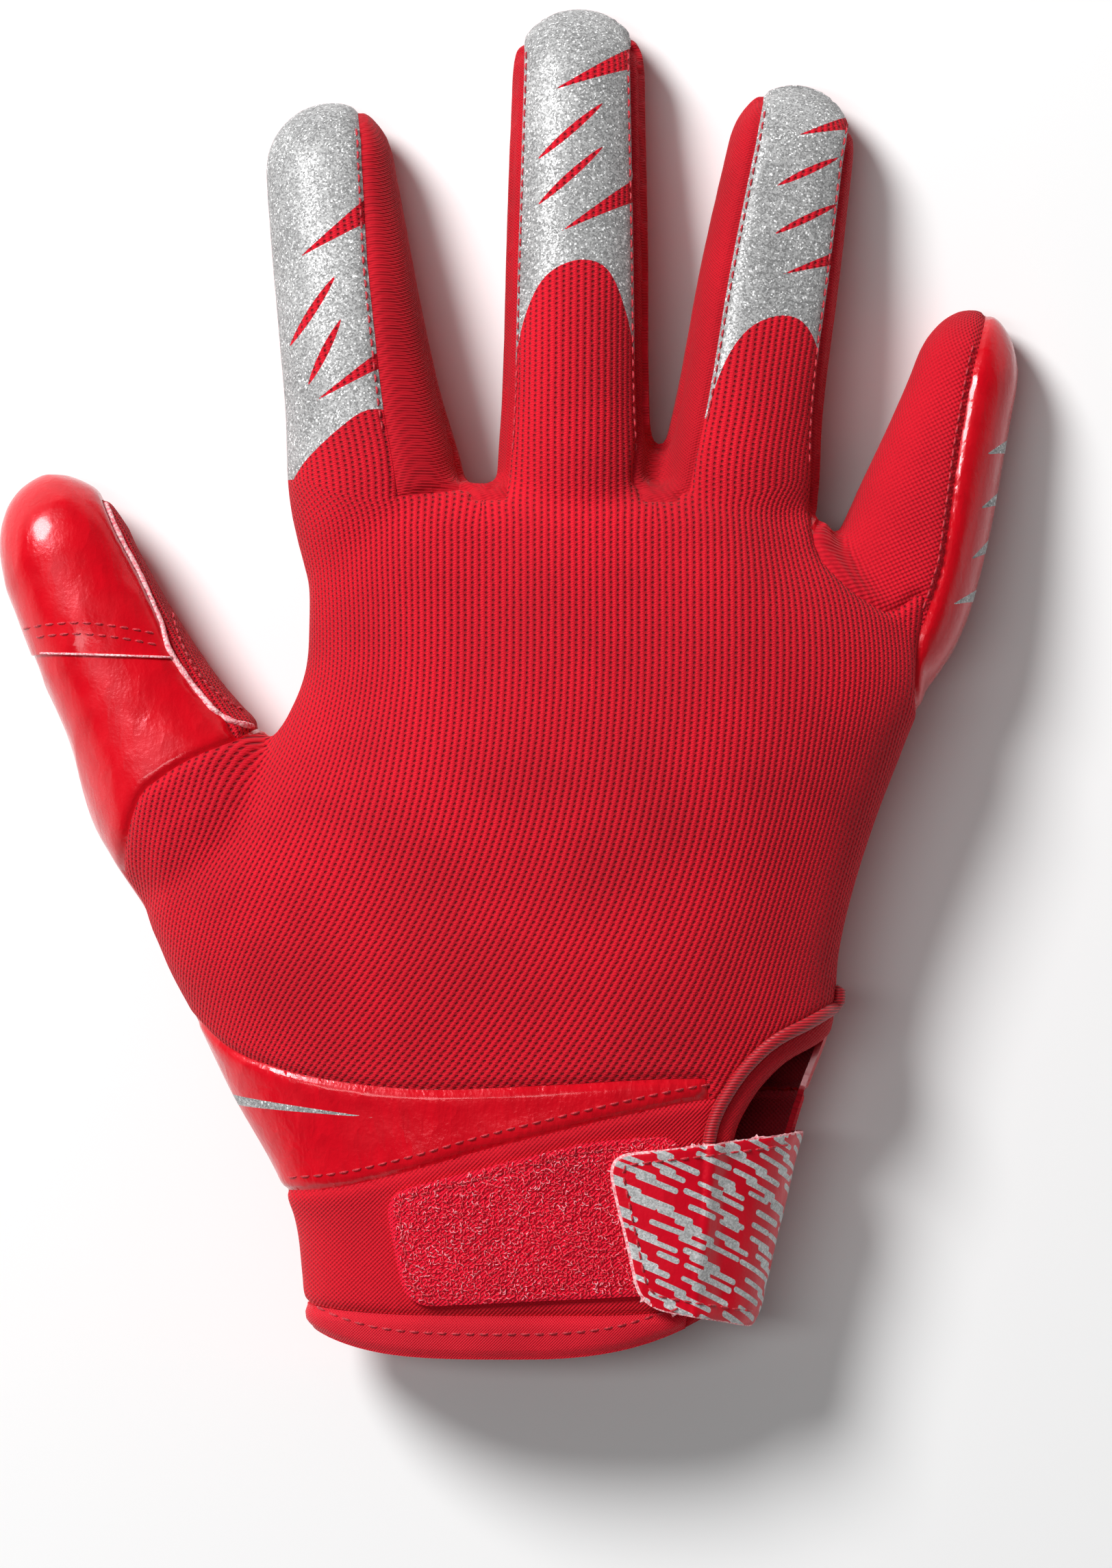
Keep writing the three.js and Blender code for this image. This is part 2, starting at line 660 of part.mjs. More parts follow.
// The finished glove, with the origin on the floor under the middle of its outline
const glove = new THREE.Group();
for (const [name, solid] of Object.entries(pieces)) {
  const mesh = new THREE.Mesh(geometryOf(solid), new THREE.MeshStandardMaterial(FINISHES[name] ?? red));
  mesh.name = name;
  glove.add(mesh);
}
const bounds = new THREE.Box3().setFromObject(glove, true);
const middle = bounds.getCenter(new THREE.Vector3());
glove.position.set(-middle.x, -middle.y, -bounds.min.z);

export default glove;
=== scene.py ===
import math
import random
from collections import namedtuple

import bpy
import numpy as np
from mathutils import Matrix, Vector
from mathutils.bvhtree import BVHTree
from mathutils.kdtree import KDTree


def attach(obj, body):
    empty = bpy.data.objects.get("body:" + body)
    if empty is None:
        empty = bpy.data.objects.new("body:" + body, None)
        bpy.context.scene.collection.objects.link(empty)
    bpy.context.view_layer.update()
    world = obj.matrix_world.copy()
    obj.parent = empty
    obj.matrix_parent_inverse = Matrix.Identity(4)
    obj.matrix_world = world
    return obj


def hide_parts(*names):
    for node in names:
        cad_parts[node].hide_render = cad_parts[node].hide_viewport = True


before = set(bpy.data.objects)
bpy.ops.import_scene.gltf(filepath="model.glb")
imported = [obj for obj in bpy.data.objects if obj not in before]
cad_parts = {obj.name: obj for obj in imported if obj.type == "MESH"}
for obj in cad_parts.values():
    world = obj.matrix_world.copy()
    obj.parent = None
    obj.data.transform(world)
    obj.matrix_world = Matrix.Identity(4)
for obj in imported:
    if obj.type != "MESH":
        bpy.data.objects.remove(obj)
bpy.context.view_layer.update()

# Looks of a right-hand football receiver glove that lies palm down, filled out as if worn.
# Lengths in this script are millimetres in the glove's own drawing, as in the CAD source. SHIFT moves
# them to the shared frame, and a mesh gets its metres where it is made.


# The glove's form: one skin over the hand, before it is cut into panels.
# Palm and cuff are one loft, each finger is another, and a voxel remesh melts them together.

SHIFT = np.array([8.40, -118.14, 0.0])
PALM_WIDTH, PALM_LENGTH, PALM_DEPTH = 110.0, 152.0, 38.0
HEM_HEIGHT = 7.5
HEM_RISE = {"left": (4.0, 4.0), "right": (9.0, 2.5)}  # how far the hem rises to a side, and how late
SIDE_SEAM = 18.0
FLOOR_GAP = 0.02  # the least height of the skin over the floor
VOXEL = 1.15
FLOOR_ROUNDING = 0.3
PALM_SIDES, PALM_SQUARENESS = 96, 2.5
FINGER_SIDES, FINGER_SQUARENESS = 48, 2.25

Finger = namedtuple("Finger", "length width depth lean bow cap root_z tip_z arch")
FINGERS = {  # millimetres, and the lean in degrees
    "thumb": Finger(96.4, 34, 31, -28.9, -2.6, 16, 17, 10.4, 0),
    "index": Finger(86, 27.4, 24, -8.6, -0.8, 12, 19, 6.5, 2),
    "middle": Finger(101.8, 26, 23.6, 0.6, 0, 12, 20, 5.9, 3),
    "ring": Finger(89.4, 26, 23.2, 9, -0.6, 12.5, 19, 6.2, 2),
    "little": Finger(72.6, 25.6, 23, 19, 1.4, 14, 17, 6, 1),
}
ROOTS = {  # shares of the palm's width and length
    "thumb": (-0.416, 0.454),
    "index": (-0.258, 0.888),
    "middle": (0.028, 0.888),
    "ring": (0.27, 0.888),
    "little": (0.473, 0.754),
}
GIRTH = {  # place along the finger, width and depth there as shares of its own
    "thumb": [(0, 0.78, 0.72), (0.2, 0.98, 0.96), (0.4, 1, 1), (0.52, 0.85, 0.9), (0.66, 0.77, 0.82),
              (0.83, 0.7, 0.76)],
    "index": [(0, 1.06, 0.9), (0.2, 1.13, 1), (0.36, 1.01, 0.97), (0.52, 0.94, 0.93), (0.86, 0.83, 0.8)],
    "middle": [(0, 1.04, 0.9), (0.18, 1.05, 1), (0.3, 1, 0.97), (0.53, 0.965, 0.93), (0.88, 0.9, 0.8)],
    "ring": [(0, 1.04, 0.9), (0.2, 1.08, 1), (0.34, 1, 0.97), (0.6, 0.95, 0.91), (0.86, 0.85, 0.8)],
    "little": [(0, 0.78, 0.72), (0.2, 1.04, 0.97), (0.45, 0.98, 0.95), (0.65, 0.84, 0.87), (0.8, 0.74, 0.8)],
}
PALM = np.array([  # place along the palm, side edges as shares of its width, heights as shares of its depth
    (-0.12, -0.36, 0.25, 0.87, 0.09), (0, -0.377, 0.27, 0.88, 0.09), (0.06, -0.398, 0.31, 0.89, 0.09),
    (0.14, -0.411, 0.34, 0.9, 0.085), (0.22, -0.452, 0.366, 0.92, 0.07), (0.3, -0.515, 0.4, 0.95, 0.03),
    (0.38, -0.57, 0.44, 0.98, -0.01), (0.46, -0.625, 0.45, 1, -0.03), (0.54, -0.65, 0.475, 1, -0.03),
    (0.62, -0.55, 0.51, 1, 0), (0.7, -0.455, 0.553, 0.99, 0.03), (0.78, -0.4, 0.59, 0.97, 0.05),
    (0.85, -0.392, 0.56, 0.94, 0.08), (0.92, -0.39, 0.465, 0.9, 0.14), (0.97, -0.37, 0.41, 0.83, 0.2),
    (1, -0.3, 0.34, 0.7, 0.32),
])


def smooth_table(xs, ys, at):
    """A smooth curve through a table's points, read at any places."""
    xs, ys, at = np.asarray(xs, float), np.asarray(ys, float), np.clip(at, xs[0], xs[-1])
    slope = np.gradient(ys, xs)
    i = np.clip(np.searchsorted(xs, at) - 1, 0, len(xs) - 2)
    step = xs[i + 1] - xs[i]
    t = (at - xs[i]) / step
    return (
        (2 * t**3 - 3 * t**2 + 1) * ys[i]
        + (t**3 - 2 * t**2 + t) * step * slope[i]
        + (3 * t**2 - 2 * t**3) * ys[i + 1]
        + (t**3 - t**2) * step * slope[i + 1]
    )


def smoothstep(low, high, x):
    t = np.clip((x - low) / (high - low), 0, 1)
    return t * t * (3 - 2 * t)


def palm_section(along):
    """Middle x, middle z, half width and half depth of the palm at places along it."""
    left, right, top, sole = (smooth_table(PALM[:, 0], PALM[:, k], along / PALM_LENGTH) for k in (1, 2, 3, 4))
    left, right, top, sole = left * PALM_WIDTH, right * PALM_WIDTH, top * PALM_DEPTH, sole * PALM_DEPTH
    return (left + right) / 2, (top + sole) / 2, (right - left) / 2, (top - sole) / 2


def finger_section(name, along):
    """Half width, half depth and centre height of a finger at places along it."""
    finger, rows = FINGERS[name], np.array(GIRTH[name])
    at = np.clip(along / finger.length, 0, 1)
    half = finger.width / 2 * smooth_table(rows[:, 0], rows[:, 1], at)
    deep = finger.depth / 2 * smooth_table(rows[:, 0], rows[:, 2], at)
    return half, deep, finger.root_z + (finger.tip_z - finger.root_z) * at + finger.arch * 4 * at * (1 - at)


def finger_axes(name):
    """Plan place of a finger's root, and the sine and cosine of its lean."""
    lean = math.radians(FINGERS[name].lean)
    return ROOTS[name][0] * PALM_WIDTH, ROOTS[name][1] * PALM_LENGTH, math.sin(lean), math.cos(lean)


def on_finger(name, along, side):
    """Plan place of a point at a distance along a finger and to its side."""
    x, y, s, c = finger_axes(name)
    at = along / FINGERS[name].length
    across = side + FINGERS[name].bow * 4 * at * (1 - at)
    return x + s * along + c * across, y + c * along - s * across


def finger_place(name, p):
    """The other way round: how far along the finger each point lies, and how far to its side."""
    root_x, root_y, s, c = finger_axes(name)
    x, y = p[:, 0] - root_x, p[:, 1] - root_y
    along = s * x + c * y
    at = along / FINGERS[name].length
    return along, c * x - s * y - FINGERS[name].bow * 4 * at * (1 - at)


def loft(rings):
    """Vertices and faces of a tube through rings, with its ends closed."""
    rings = np.asarray(rings)
    count, sides = rings.shape[:2]
    verts = np.vstack([rings.reshape(-1, 3), rings[0].mean(0), rings[-1].mean(0)])
    k = np.arange(sides)
    n = (k + 1) % sides
    faces = []
    for i in range(count - 1):
        a, b = i * sides, (i + 1) * sides
        faces += np.stack([a + k, a + n, b + n, b + k], 1).tolist()
    last, centre = (count - 1) * sides, np.full(sides, count * sides)
    faces += np.stack([centre, n, k], 1).tolist()
    faces += np.stack([centre + 1, last + k, last + n], 1).tolist()
    return verts, faces


def joined(parts):
    """The vertices and faces of several meshes as those of one."""
    verts, faces, base = [], [], 0
    for part_verts, part_faces in parts:
        verts.append(part_verts)
        faces += [[base + k for k in face] for face in part_faces]
        base += len(part_verts)
    return np.vstack(verts), faces


def new_object(name, verts, faces, shift=True):
    """A mesh object from millimetre vertices."""
    mesh = bpy.data.meshes.new(name)
    verts = (np.asarray(verts) + (SHIFT if shift else 0)) * 0.001
    mesh.from_pydata(verts.tolist(), [], faces if isinstance(faces, list) else faces.tolist())
    mesh.update()
    obj = bpy.data.objects.new(name, mesh)
    bpy.context.scene.collection.objects.link(obj)
    return obj


def only(obj):
    """Makes obj the one selected, active object."""
    bpy.ops.object.select_all(action="DESELECT")
    obj.select_set(True)
    bpy.context.view_layer.objects.active = obj
    return obj


def apply_modifiers(obj):
    only(obj)
    for modifier in list(obj.modifiers):
        bpy.ops.object.modifier_apply(modifier=modifier.name)


def power_ring(sides, squareness):
    """A ring of a rounded box section, of half width and half depth 1."""
    angle = np.arange(sides) * 2 * math.pi / sides
    return [np.sign(v) * np.abs(v) ** (2 / squareness) for v in (np.cos(angle), np.sin(angle))]


stations = np.linspace(-14, PALM_LENGTH, 110)
across, up = power_ring(PALM_SIDES, PALM_SQUARENESS)
mid_x, mid_z, half_w, half_d = palm_section(stations)
rings = [
    np.stack([mid_x[i] + half_w[i] * across, np.full(PALM_SIDES, y), mid_z[i] + half_d[i] * up], 1)
    for i, y in enumerate(stations)
]
form_parts = [loft(rings)]
across, up = power_ring(FINGER_SIDES, FINGER_SQUARENESS)
for name, finger in FINGERS.items():
    shank = finger.length - finger.cap
    spots = [(along, 1.0) for along in np.linspace(0, shank, 50)]
    spots += [(shank + finger.cap * math.sin(q), math.cos(q)) for q in np.radians(np.linspace(6, 86, 15))]
    rings = []
    for along, scale in spots:
        half, deep, z = finger_section(name, np.array([along]))
        x, y = on_finger(name, along, half[0] * scale * across)
        rings.append(np.stack([x, y, z[0] + deep[0] * scale * up], 1))
    form_parts.append(loft(rings))

form = new_object("form", *joined(form_parts), shift=False)
remesh = form.modifiers.new("melt", "REMESH")
remesh.mode = "VOXEL"
remesh.voxel_size = VOXEL * 0.001
smooth = form.modifiers.new("relax", "SMOOTH")
smooth.factor = 0.5
smooth.iterations = 8
form.modifiers.new("triangles", "TRIANGULATE")
apply_modifiers(form)


def mesh_arrays(obj):
    """A triangle mesh's vertices, in millimetres, and its triangles."""
    mesh = obj.data
    co = np.empty(len(mesh.vertices) * 3)
    mesh.vertices.foreach_get("co", co)
    tri = np.empty(len(mesh.loops), np.int64)
    mesh.loops.foreach_get("vertex_index", tri)
    return co.reshape(-1, 3) * 1000, tri.reshape(-1, 3)


def normals_of(co, tri):
    """Smooth normals at the vertices."""
    a, b, c = co[tri[:, 0]], co[tri[:, 1]], co[tri[:, 2]]
    face = np.cross(b - a, c - a)
    total = np.zeros_like(co)
    for k in range(3):
        np.add.at(total, tri[:, k], face)
    return total / np.maximum(np.linalg.norm(total, axis=1, keepdims=True), 1e-12)


def waves(p, size, seed, count=14):
    """Smooth seeded noise from -1 to 1, with waves about `size` mm long."""
    rng = np.random.default_rng(seed)
    total = np.zeros(len(p))
    for _ in range(count):
        direction = rng.normal(size=3)
        direction *= 2 * math.pi / (size * rng.uniform(0.7, 1.6)) / np.linalg.norm(direction)
        total += np.sin(p @ direction + rng.uniform(0, 2 * math.pi))
    return total / count * 2.2


skin, skin_tri = mesh_arrays(form)
bpy.data.objects.remove(form)
skin[:, 2] = 0.5 * (skin[:, 2] + np.sqrt(skin[:, 2] ** 2 + FLOOR_ROUNDING))  # lies flat on the floor
skin_normal = normals_of(skin, skin_tri)

# Soft relief: a slight unevenness everywhere, creases in the thumb's leather, slack in the cuff, and a
# valley from each gap between two fingers down over the knuckles
UNEVEN, CREASE, SLACK, VALLEY = 0.16, 0.24, 0.22, 0.9
SLACK_SHEAR = np.array([[1, 0.35, 0], [-0.2, 1, 0], [0, 0, 1]])
thumb_along, thumb_side = finger_place("thumb", skin)
on_thumb = smoothstep(8, 26, thumb_along) * (1 - smoothstep(20, 26, np.abs(thumb_side)))
crease = 1 - np.abs(waves(skin * [1, 0.55, 1], 17, 3))
low_cuff = 1 - smoothstep(36, 46, skin[:, 1])
relief = UNEVEN * waves(skin, 34, 1)
relief += on_thumb * (CREASE * (crease**3 - 0.5) + 0.05 * waves(skin, 7, 5))
relief += low_cuff * SLACK * waves(skin @ SLACK_SHEAR, 13, 8)
valley = np.zeros(len(skin))
for left, right in (("index", "middle"), ("middle", "ring"), ("ring", "little")):
    x = (ROOTS[left][0] + ROOTS[right][0]) / 2 * PALM_WIDTH
    reach = smoothstep(100, 146, skin[:, 1]) * np.exp(-(((skin[:, 0] - x) / 7) ** 2))
    valley += reach * (skin_normal[:, 2] > 0.2)
relief -= VALLEY * valley
skin = skin + skin_normal * relief[:, None]
skin[:, 2] = np.maximum(skin[:, 2], FLOOR_GAP)
skin_normal = normals_of(skin, skin_tri)


# Panels: the skin is cut along the seams, one panel after another.
# A cut is a number at every vertex, in mm: positive inside the panel, and 0 on its seam.

# Seams in plan, as shares of the palm's width and length
LEATHER_EDGE = [(-0.427, 0.729), (-0.5, 0.708), (-0.57, 0.687), (-0.624, 0.663), (-0.662, 0.636),
                (-0.689, 0.565), (-0.676, 0.529), (-0.613, 0.43), (-0.569, 0.383), (-0.515, 0.351),
                (-0.449, 0.333), (-0.373, 0.32), (-0.275, 0.311), (-0.176, 0.308), (-0.013, 0.313),
                (0.14, 0.319), (0.238, 0.32)]
CUFF_SEAM = [(-0.62, 0.176), (-0.441, 0.187), (-0.34, 0.195), (-0.231, 0.214), (-0.122, 0.237),
             (-0.013, 0.257), (0.096, 0.276), (0.205, 0.292), (0.3, 0.298), (0.62, 0.3)]
VENT_LINE = [(0.195, -0.03), (0.205, 0.036), (0.222, 0.138), (0.236, 0.22), (0.247, 0.268), (0.271, 0.304),
             (0.304, 0.336), (0.347, 0.363), (0.402, 0.383), (0.455, 0.404)]
VENT_FACING = 4.5
KNUCKLE_EDGE = [(0.62, 0.69), (0.576, 0.738), (0.574, 0.81), (0.582, 0.872), (0.533, 0.853), (0.495, 0.864),
                (0.451, 0.889), (0.41, 0.93), (0.36, 1.06), (-0.115, 1.1), (-0.45, 1.06), (-0.47, 0.85),
                (-0.46, 0.76)]
SEAMS = {  # lines along the fingers, as shares of the half width: place along, share
    "index": (-1.3, [(0, 0.2), (0.35, 0.26), (0.65, 0.38), (0.9, 0.55)]),
    "middle": (-0.86, [(0, 0.86), (1, 0.8)]),
    "ring": (-0.6, [(0, 0.95), (0.5, 0.85), (0.9, 0.87)]),
    "little": (-1.3, [(0, 0.5), (0.38, 0.45), (0.65, 0.2), (0.85, 0.06)]),
    "thumb": (None, [(0.43, 0.75), (0.6, 0.71), (0.65, 0.8), (0.75, 0.88)]),
}
STRIP_DROP, STRIP_REACH, CROTCH_REACH = 0.35, 1.3, 3.0
THUMB_LAP = [(-1.2, 0.815), (-0.47, 0.795)]
THUMB_ROOT = [(-1.2, 0.47), (-0.46, 0.775)]
BAND_END = [[30, 49], [30, 43]]  # the band's blunt end at the vent, in mm
FAR = 400.0
CURVE_STEPS = 6


def unit(v):
    return v / np.maximum(np.linalg.norm(v, axis=-1, keepdims=True), 1e-9)


def spline(points, steps=CURVE_STEPS):
    """A smooth plan curve through points."""
    p = np.asarray(points, float)
    p = np.vstack([p[0], p, p[-1]])
    t = (np.arange(steps) / steps)[:, None]
    out = []
    for a, b, c, d in zip(p[:-3], p[1:-2], p[2:-1], p[3:]):
        square, cube = 2 * a - 5 * b + 4 * c - d, 3 * b - a - 3 * c + d
        out.append(0.5 * (2 * b + (c - a) * t + square * t**2 + cube * t**3))
    return np.vstack(out + [p[-2]])


def seam_curve(rows):
    """A seam as a smooth plan curve, from shares of the palm."""
    return spline(np.array(rows) * [PALM_WIDTH, PALM_LENGTH])


def segment_distance(p, line):
    """Plan distance from each point to an open line."""
    best = np.full(len(p), np.inf)
    for a, b in zip(line[:-1], line[1:]):
        edge = b - a
        t = np.clip(((p[:, :2] - a) @ edge) / max(edge @ edge, 1e-9), 0, 1)
        best = np.minimum(best, np.hypot(*(p[:, :2] - a - t[:, None] * edge).T))
    return best


def inside(polygon, p):
    """Plan distance to a closed outline, positive inside it."""
    polygon = np.asarray(polygon, float)
    ring = np.vstack([polygon, polygon[:1]])
    odd = np.zeros(len(p), bool)
    for (x0, y0), (x1, y1) in zip(ring[:-1], ring[1:]):
        spans = (y0 > p[:, 1]) != (y1 > p[:, 1])
        if y0 != y1:
            odd ^= spans & (p[:, 0] < x0 + (x1 - x0) * (p[:, 1] - y0) / (y1 - y0))
    return np.where(odd, 1, -1) * segment_distance(p, ring)


def read_share(line, at):
    """A share at places along a finger, from a number or from rows of place and share."""
    if not isinstance(line, list):
        return np.full(len(at), float(line))
    return np.interp(at, [row[0] for row in line], [row[1] for row in line])


def strip(name, left, right, low, start, p):
    """A strip along a finger, from a height below its centre line up."""
    along, side = finger_place(name, p)
    half, deep, z = finger_section(name, along)
    at = along / FINGERS[name].length
    left_room, right_room = side - read_share(left, at) * half, read_share(right, at) * half - side
    return np.minimum.reduce([left_room, right_room, p[:, 2] - (z - low * deep), along - start])


def soft_max(a, b, reach=4.0):
    """The larger of two, with the corner between them rounded."""
    h = np.clip(0.5 + 0.5 * (a - b) / reach, 0, 1)
    return b + (a - b) * h + reach * h * (1 - h) * 0.5


def along_at(name, y):
    """How far along a finger a line across the hand lies."""
    _, root_y, _, c = finger_axes(name)
    return (y - root_y) / c


def hem_bow(along, share):
    """How much higher the hem lies beside its middle, at a share of its half width."""
    rise = np.where(share < 0, HEM_RISE["left"][0], HEM_RISE["right"][0])
    bend = np.where(share < 0, HEM_RISE["left"][1], HEM_RISE["right"][1])
    return rise * max(0, 1 - along / (5 * HEM_HEIGHT)) * np.minimum(np.abs(share), 1.15) ** bend


vent_curve = seam_curve(VENT_LINE)


def offset_line(line, distance):
    """A line moved to its right."""
    along = unit(np.gradient(line, axis=0))
    return line + distance * np.stack([along[:, 1], -along[:, 0]], 1)


def right_of_vent(p, distance):
    edge = offset_line(vent_curve, distance)
    outline = np.vstack([edge, [[FAR, vent_curve[-1, 1]], [FAR, edge[0, 1]]]])
    return np.minimum(inside(outline, p), p[:, 2] - SIDE_SEAM)


def below_hem(p):
    return HEM_HEIGHT + hem_bow(HEM_HEIGHT, p[:, 0] / (PALM_WIDTH / 2)) - p[:, 1]


def below_mouth(p):
    x, _, half, _ = palm_section(np.zeros(1))
    return hem_bow(0, (p[:, 0] - x[0]) / half[0]) - p[:, 1]


def below_cuff(p):
    line = seam_curve(CUFF_SEAM)
    return np.interp(p[:, 0], line[:, 0], line[:, 1]) - p[:, 1]


def gap_strip(left, right, p):
    """The cloth strip in the gap between two fingers, on the sides of both."""
    starts = [max(0, along_at(name, PALM_LENGTH - CROTCH_REACH)) for name in (left, right)]
    value = strip(left, SEAMS[left][1], STRIP_REACH, STRIP_DROP, starts[0], p)
    if right == "little":
        return value
    return soft_max(value, strip(right, -STRIP_REACH, SEAMS[right][0], STRIP_DROP, starts[1], p))


def back(p):
    vent_side = seam_curve(VENT_LINE)[-5 * CURVE_STEPS - 1:]
    outline = np.vstack([seam_curve(LEATHER_EDGE), vent_side, seam_curve(KNUCKLE_EDGE)])
    value = np.minimum(inside(outline, p), p[:, 2] - SIDE_SEAM)
    for name in ("index", "middle", "ring"):
        value = np.maximum(value, strip(name, *SEAMS[name], 0, 0, p))
    return value


def band(p):
    top, bottom = seam_curve(LEATHER_EDGE)[6 * CURVE_STEPS:], seam_curve(CUFF_SEAM)[:-2 * CURVE_STEPS]
    return np.minimum(inside(np.vstack([top, BAND_END, bottom[::-1]]), p), p[:, 2] - SIDE_SEAM)


def little_back(p):
    return strip("little", *SEAMS["little"], 0.1, along_at("little", 0.83 * PALM_LENGTH), p)


def thumb_inner_side(p):
    return strip("thumb", SEAMS["thumb"][1], STRIP_REACH, STRIP_DROP, 0.4 * FINGERS["thumb"].length, p)


def past_line(rows, p):
    """Plan distance past a straight line across the thumb, given as shares of the palm."""
    a, b = np.array(rows) * [PALM_WIDTH, PALM_LENGTH]
    edge = unit(b - a)
    return (p[:, 1] - a[1]) * edge[0] - (p[:, 0] - a[0]) * edge[1]


def beyond(rows, p):
    """Positive past such a line, on the thumb's side of the hand."""
    return np.minimum(past_line(rows, p), rows[1][0] * PALM_WIDTH - p[:, 0])


def divide(rows, tri, split_at):
    """Cuts edges of triangles. split_at gives, for the edges' two ends, where each is cut, or nan.
    rows hold a vertex each, and all their columns are carried to the new vertices."""
    pairs = np.sort(np.stack([tri, np.roll(tri, -1, 1)], 2).reshape(-1, 2), 1)
    edges, where = np.unique(pairs, axis=0, return_inverse=True)
    where = where.reshape(-1, 3)
    t = split_at(edges[:, 0], edges[:, 1])
    cut = ~np.isnan(t)
    place = np.full(len(edges), -1)
    place[cut] = len(rows) + np.arange(cut.sum())
    t = np.clip(t[cut], 0.02, 0.98)[:, None]
    rows = np.vstack([rows, rows[edges[cut, 0]] * (1 - t) + rows[edges[cut, 1]] * t])
    new = place[where]
    marked = new >= 0
    count = marked.sum(1)
    out = [tri[count == 0]]
    for number in (1, 2, 3):
        pick = count == number
        if not pick.any():
            continue
        f, m, k = tri[pick], new[pick], marked[pick]
        turn = {1: k.argmax(1), 2: ((~k).argmax(1) + 1) % 3, 3: np.zeros(len(f), int)}[number]
        order = (turn[:, None] + np.arange(3)) % 3
        a, b, c = np.take_along_axis(f, order, 1).T
        ab, bc, ca = np.take_along_axis(m, order, 1).T
        # with one cut it is on the first edge, and with two the third edge is whole
        pieces = {
            1: ((a, ab, c), (ab, b, c)),
            2: ((ab, b, bc), (a, ab, bc), (a, bc, c)),
            3: ((a, ab, ca), (ab, b, bc), (ca, bc, c), (ab, bc, ca)),
        }[number]
        out += [np.stack(corners, 1) for corners in pieces]
    return rows, np.vstack(out)


def split(rows, tri, column):
    """Cuts triangles where a column of rows passes 0, and says which are on its positive side."""
    g = rows[:, column]

    def crossing(a, b):
        ga, gb = g[a], g[b]
        return np.where((ga > 0) != (gb > 0), ga / np.where(ga == gb, 1, ga - gb), np.nan)

    before = len(rows)
    rows, tri = divide(rows, tri, crossing)
    rows[before:, column] = 0
    return rows, tri, rows[tri, column].sum(1) > 0


def compact(rows, tri):
    """Leaves out the rows that no triangle uses."""
    used, tri = np.unique(tri, return_inverse=True)
    return rows[used], tri.reshape(-1, 3)


def largest(rows, tri):
    """The largest connected part, and the triangles of the crumbs that a seam leaves beside it."""
    label = np.arange(len(rows))
    pairs = np.vstack([tri[:, [0, 1]], tri[:, [1, 2]]])
    while True:
        low = np.minimum(label[pairs[:, 0]], label[pairs[:, 1]])
        new = label.copy()
        np.minimum.at(new, pairs[:, 0], low)
        np.minimum.at(new, pairs[:, 1], low)
        new = new[new]
        if (new == label).all():
            break
        label = new
    group = label[tri[:, 0]]
    names, sizes = np.unique(group, return_counts=True)
    biggest = group == names[sizes.argmax()]
    return tri[biggest], tri[~biggest]


# Columns of rows: place, normal, the place before seams are rolled in, the distance to a seam or rim, and a
# number for the cut at hand
PLACE, NORMAL, FLAT, GAP, MARK = slice(0, 3), slice(3, 6), slice(6, 9), 9, 10
rest_rows = np.hstack([skin, skin_normal, skin, np.zeros((len(skin), 2))])
rest_tri = skin_tri

PANEL_CUTS = [  # in the order of cutting; what has no name is cut away
    (None, below_mouth),
    (None, lambda p: right_of_vent(p, VENT_FACING)),
    ("vent_facing", lambda p: right_of_vent(p, 0)),
    ("cuff_hem", below_hem),
    ("cuff", below_cuff),
    ("fourchette_index_middle", lambda p: gap_strip("index", "middle", p)),
    ("fourchette_middle_ring", lambda p: gap_strip("middle", "ring", p)),
    ("fourchette_ring_little", lambda p: gap_strip("ring", "little", p)),
    ("back_panel", back),
    ("wrist_band", band),
    ("little_finger_back", little_back),
    ("thumb_gusset", thumb_inner_side),
    ("thumb_tip", lambda p: beyond(THUMB_LAP, p)),
    ("thumb_base", lambda p: beyond(THUMB_ROOT, p)),
]
cuts = {}
for name, cutter in PANEL_CUTS:
    rest_rows[:, GAP] = cutter(rest_rows[:, PLACE])
    rows, tri, inner = split(rest_rows, rest_tri, GAP)
    rest_tri = tri[~inner]
    if name is not None:
        panel, crumbs = largest(rows, tri[inner])
        cuts[name] = compact(rows, panel)
        rest_tri = np.vstack([rest_tri, crumbs])
    rest_rows, rest_tri = compact(rows, rest_tri)
cuts["palm_panel"] = rest_rows, rest_tri


def rim_distance(rows, tri):
    """Distance of every vertex to the panel's own edge."""
    pairs = np.sort(np.vstack([tri[:, [0, 1]], tri[:, [1, 2]], tri[:, [2, 0]]]), 1)
    edges, count = np.unique(pairs, axis=0, return_counts=True)
    rim = edges[count == 1]
    points = np.vstack([rows[rim[:, 0], PLACE], (rows[rim[:, 0], PLACE] + rows[rim[:, 1], PLACE]) / 2])
    tree = KDTree(len(points))
    for i, q in enumerate(points):
        tree.insert(q, i)
    tree.balance()
    return np.array([tree.find(q)[2] for q in rows[:, PLACE]])


def sewn_edge(gap, depth=0.6, swell=0.12):
    """How far a panel stands out at a distance from its seam: pulled in there, and full beside it."""
    return -depth * np.exp(-((gap / 0.75) ** 2)) + swell * np.exp(-(((gap - 2.4) / 1.3) ** 2))


def cut_rings(rows, tri, distances):
    """Cuts the mesh along lines at these distances from its rim, which column GAP holds."""
    for ring in distances:
        rows[:, MARK] = rows[:, GAP] - ring
        rows, tri, _ = split(rows, tri, MARK)
        rows[:, GAP] = np.where(rows[:, MARK] == 0, ring, rows[:, GAP])
    return rows, tri


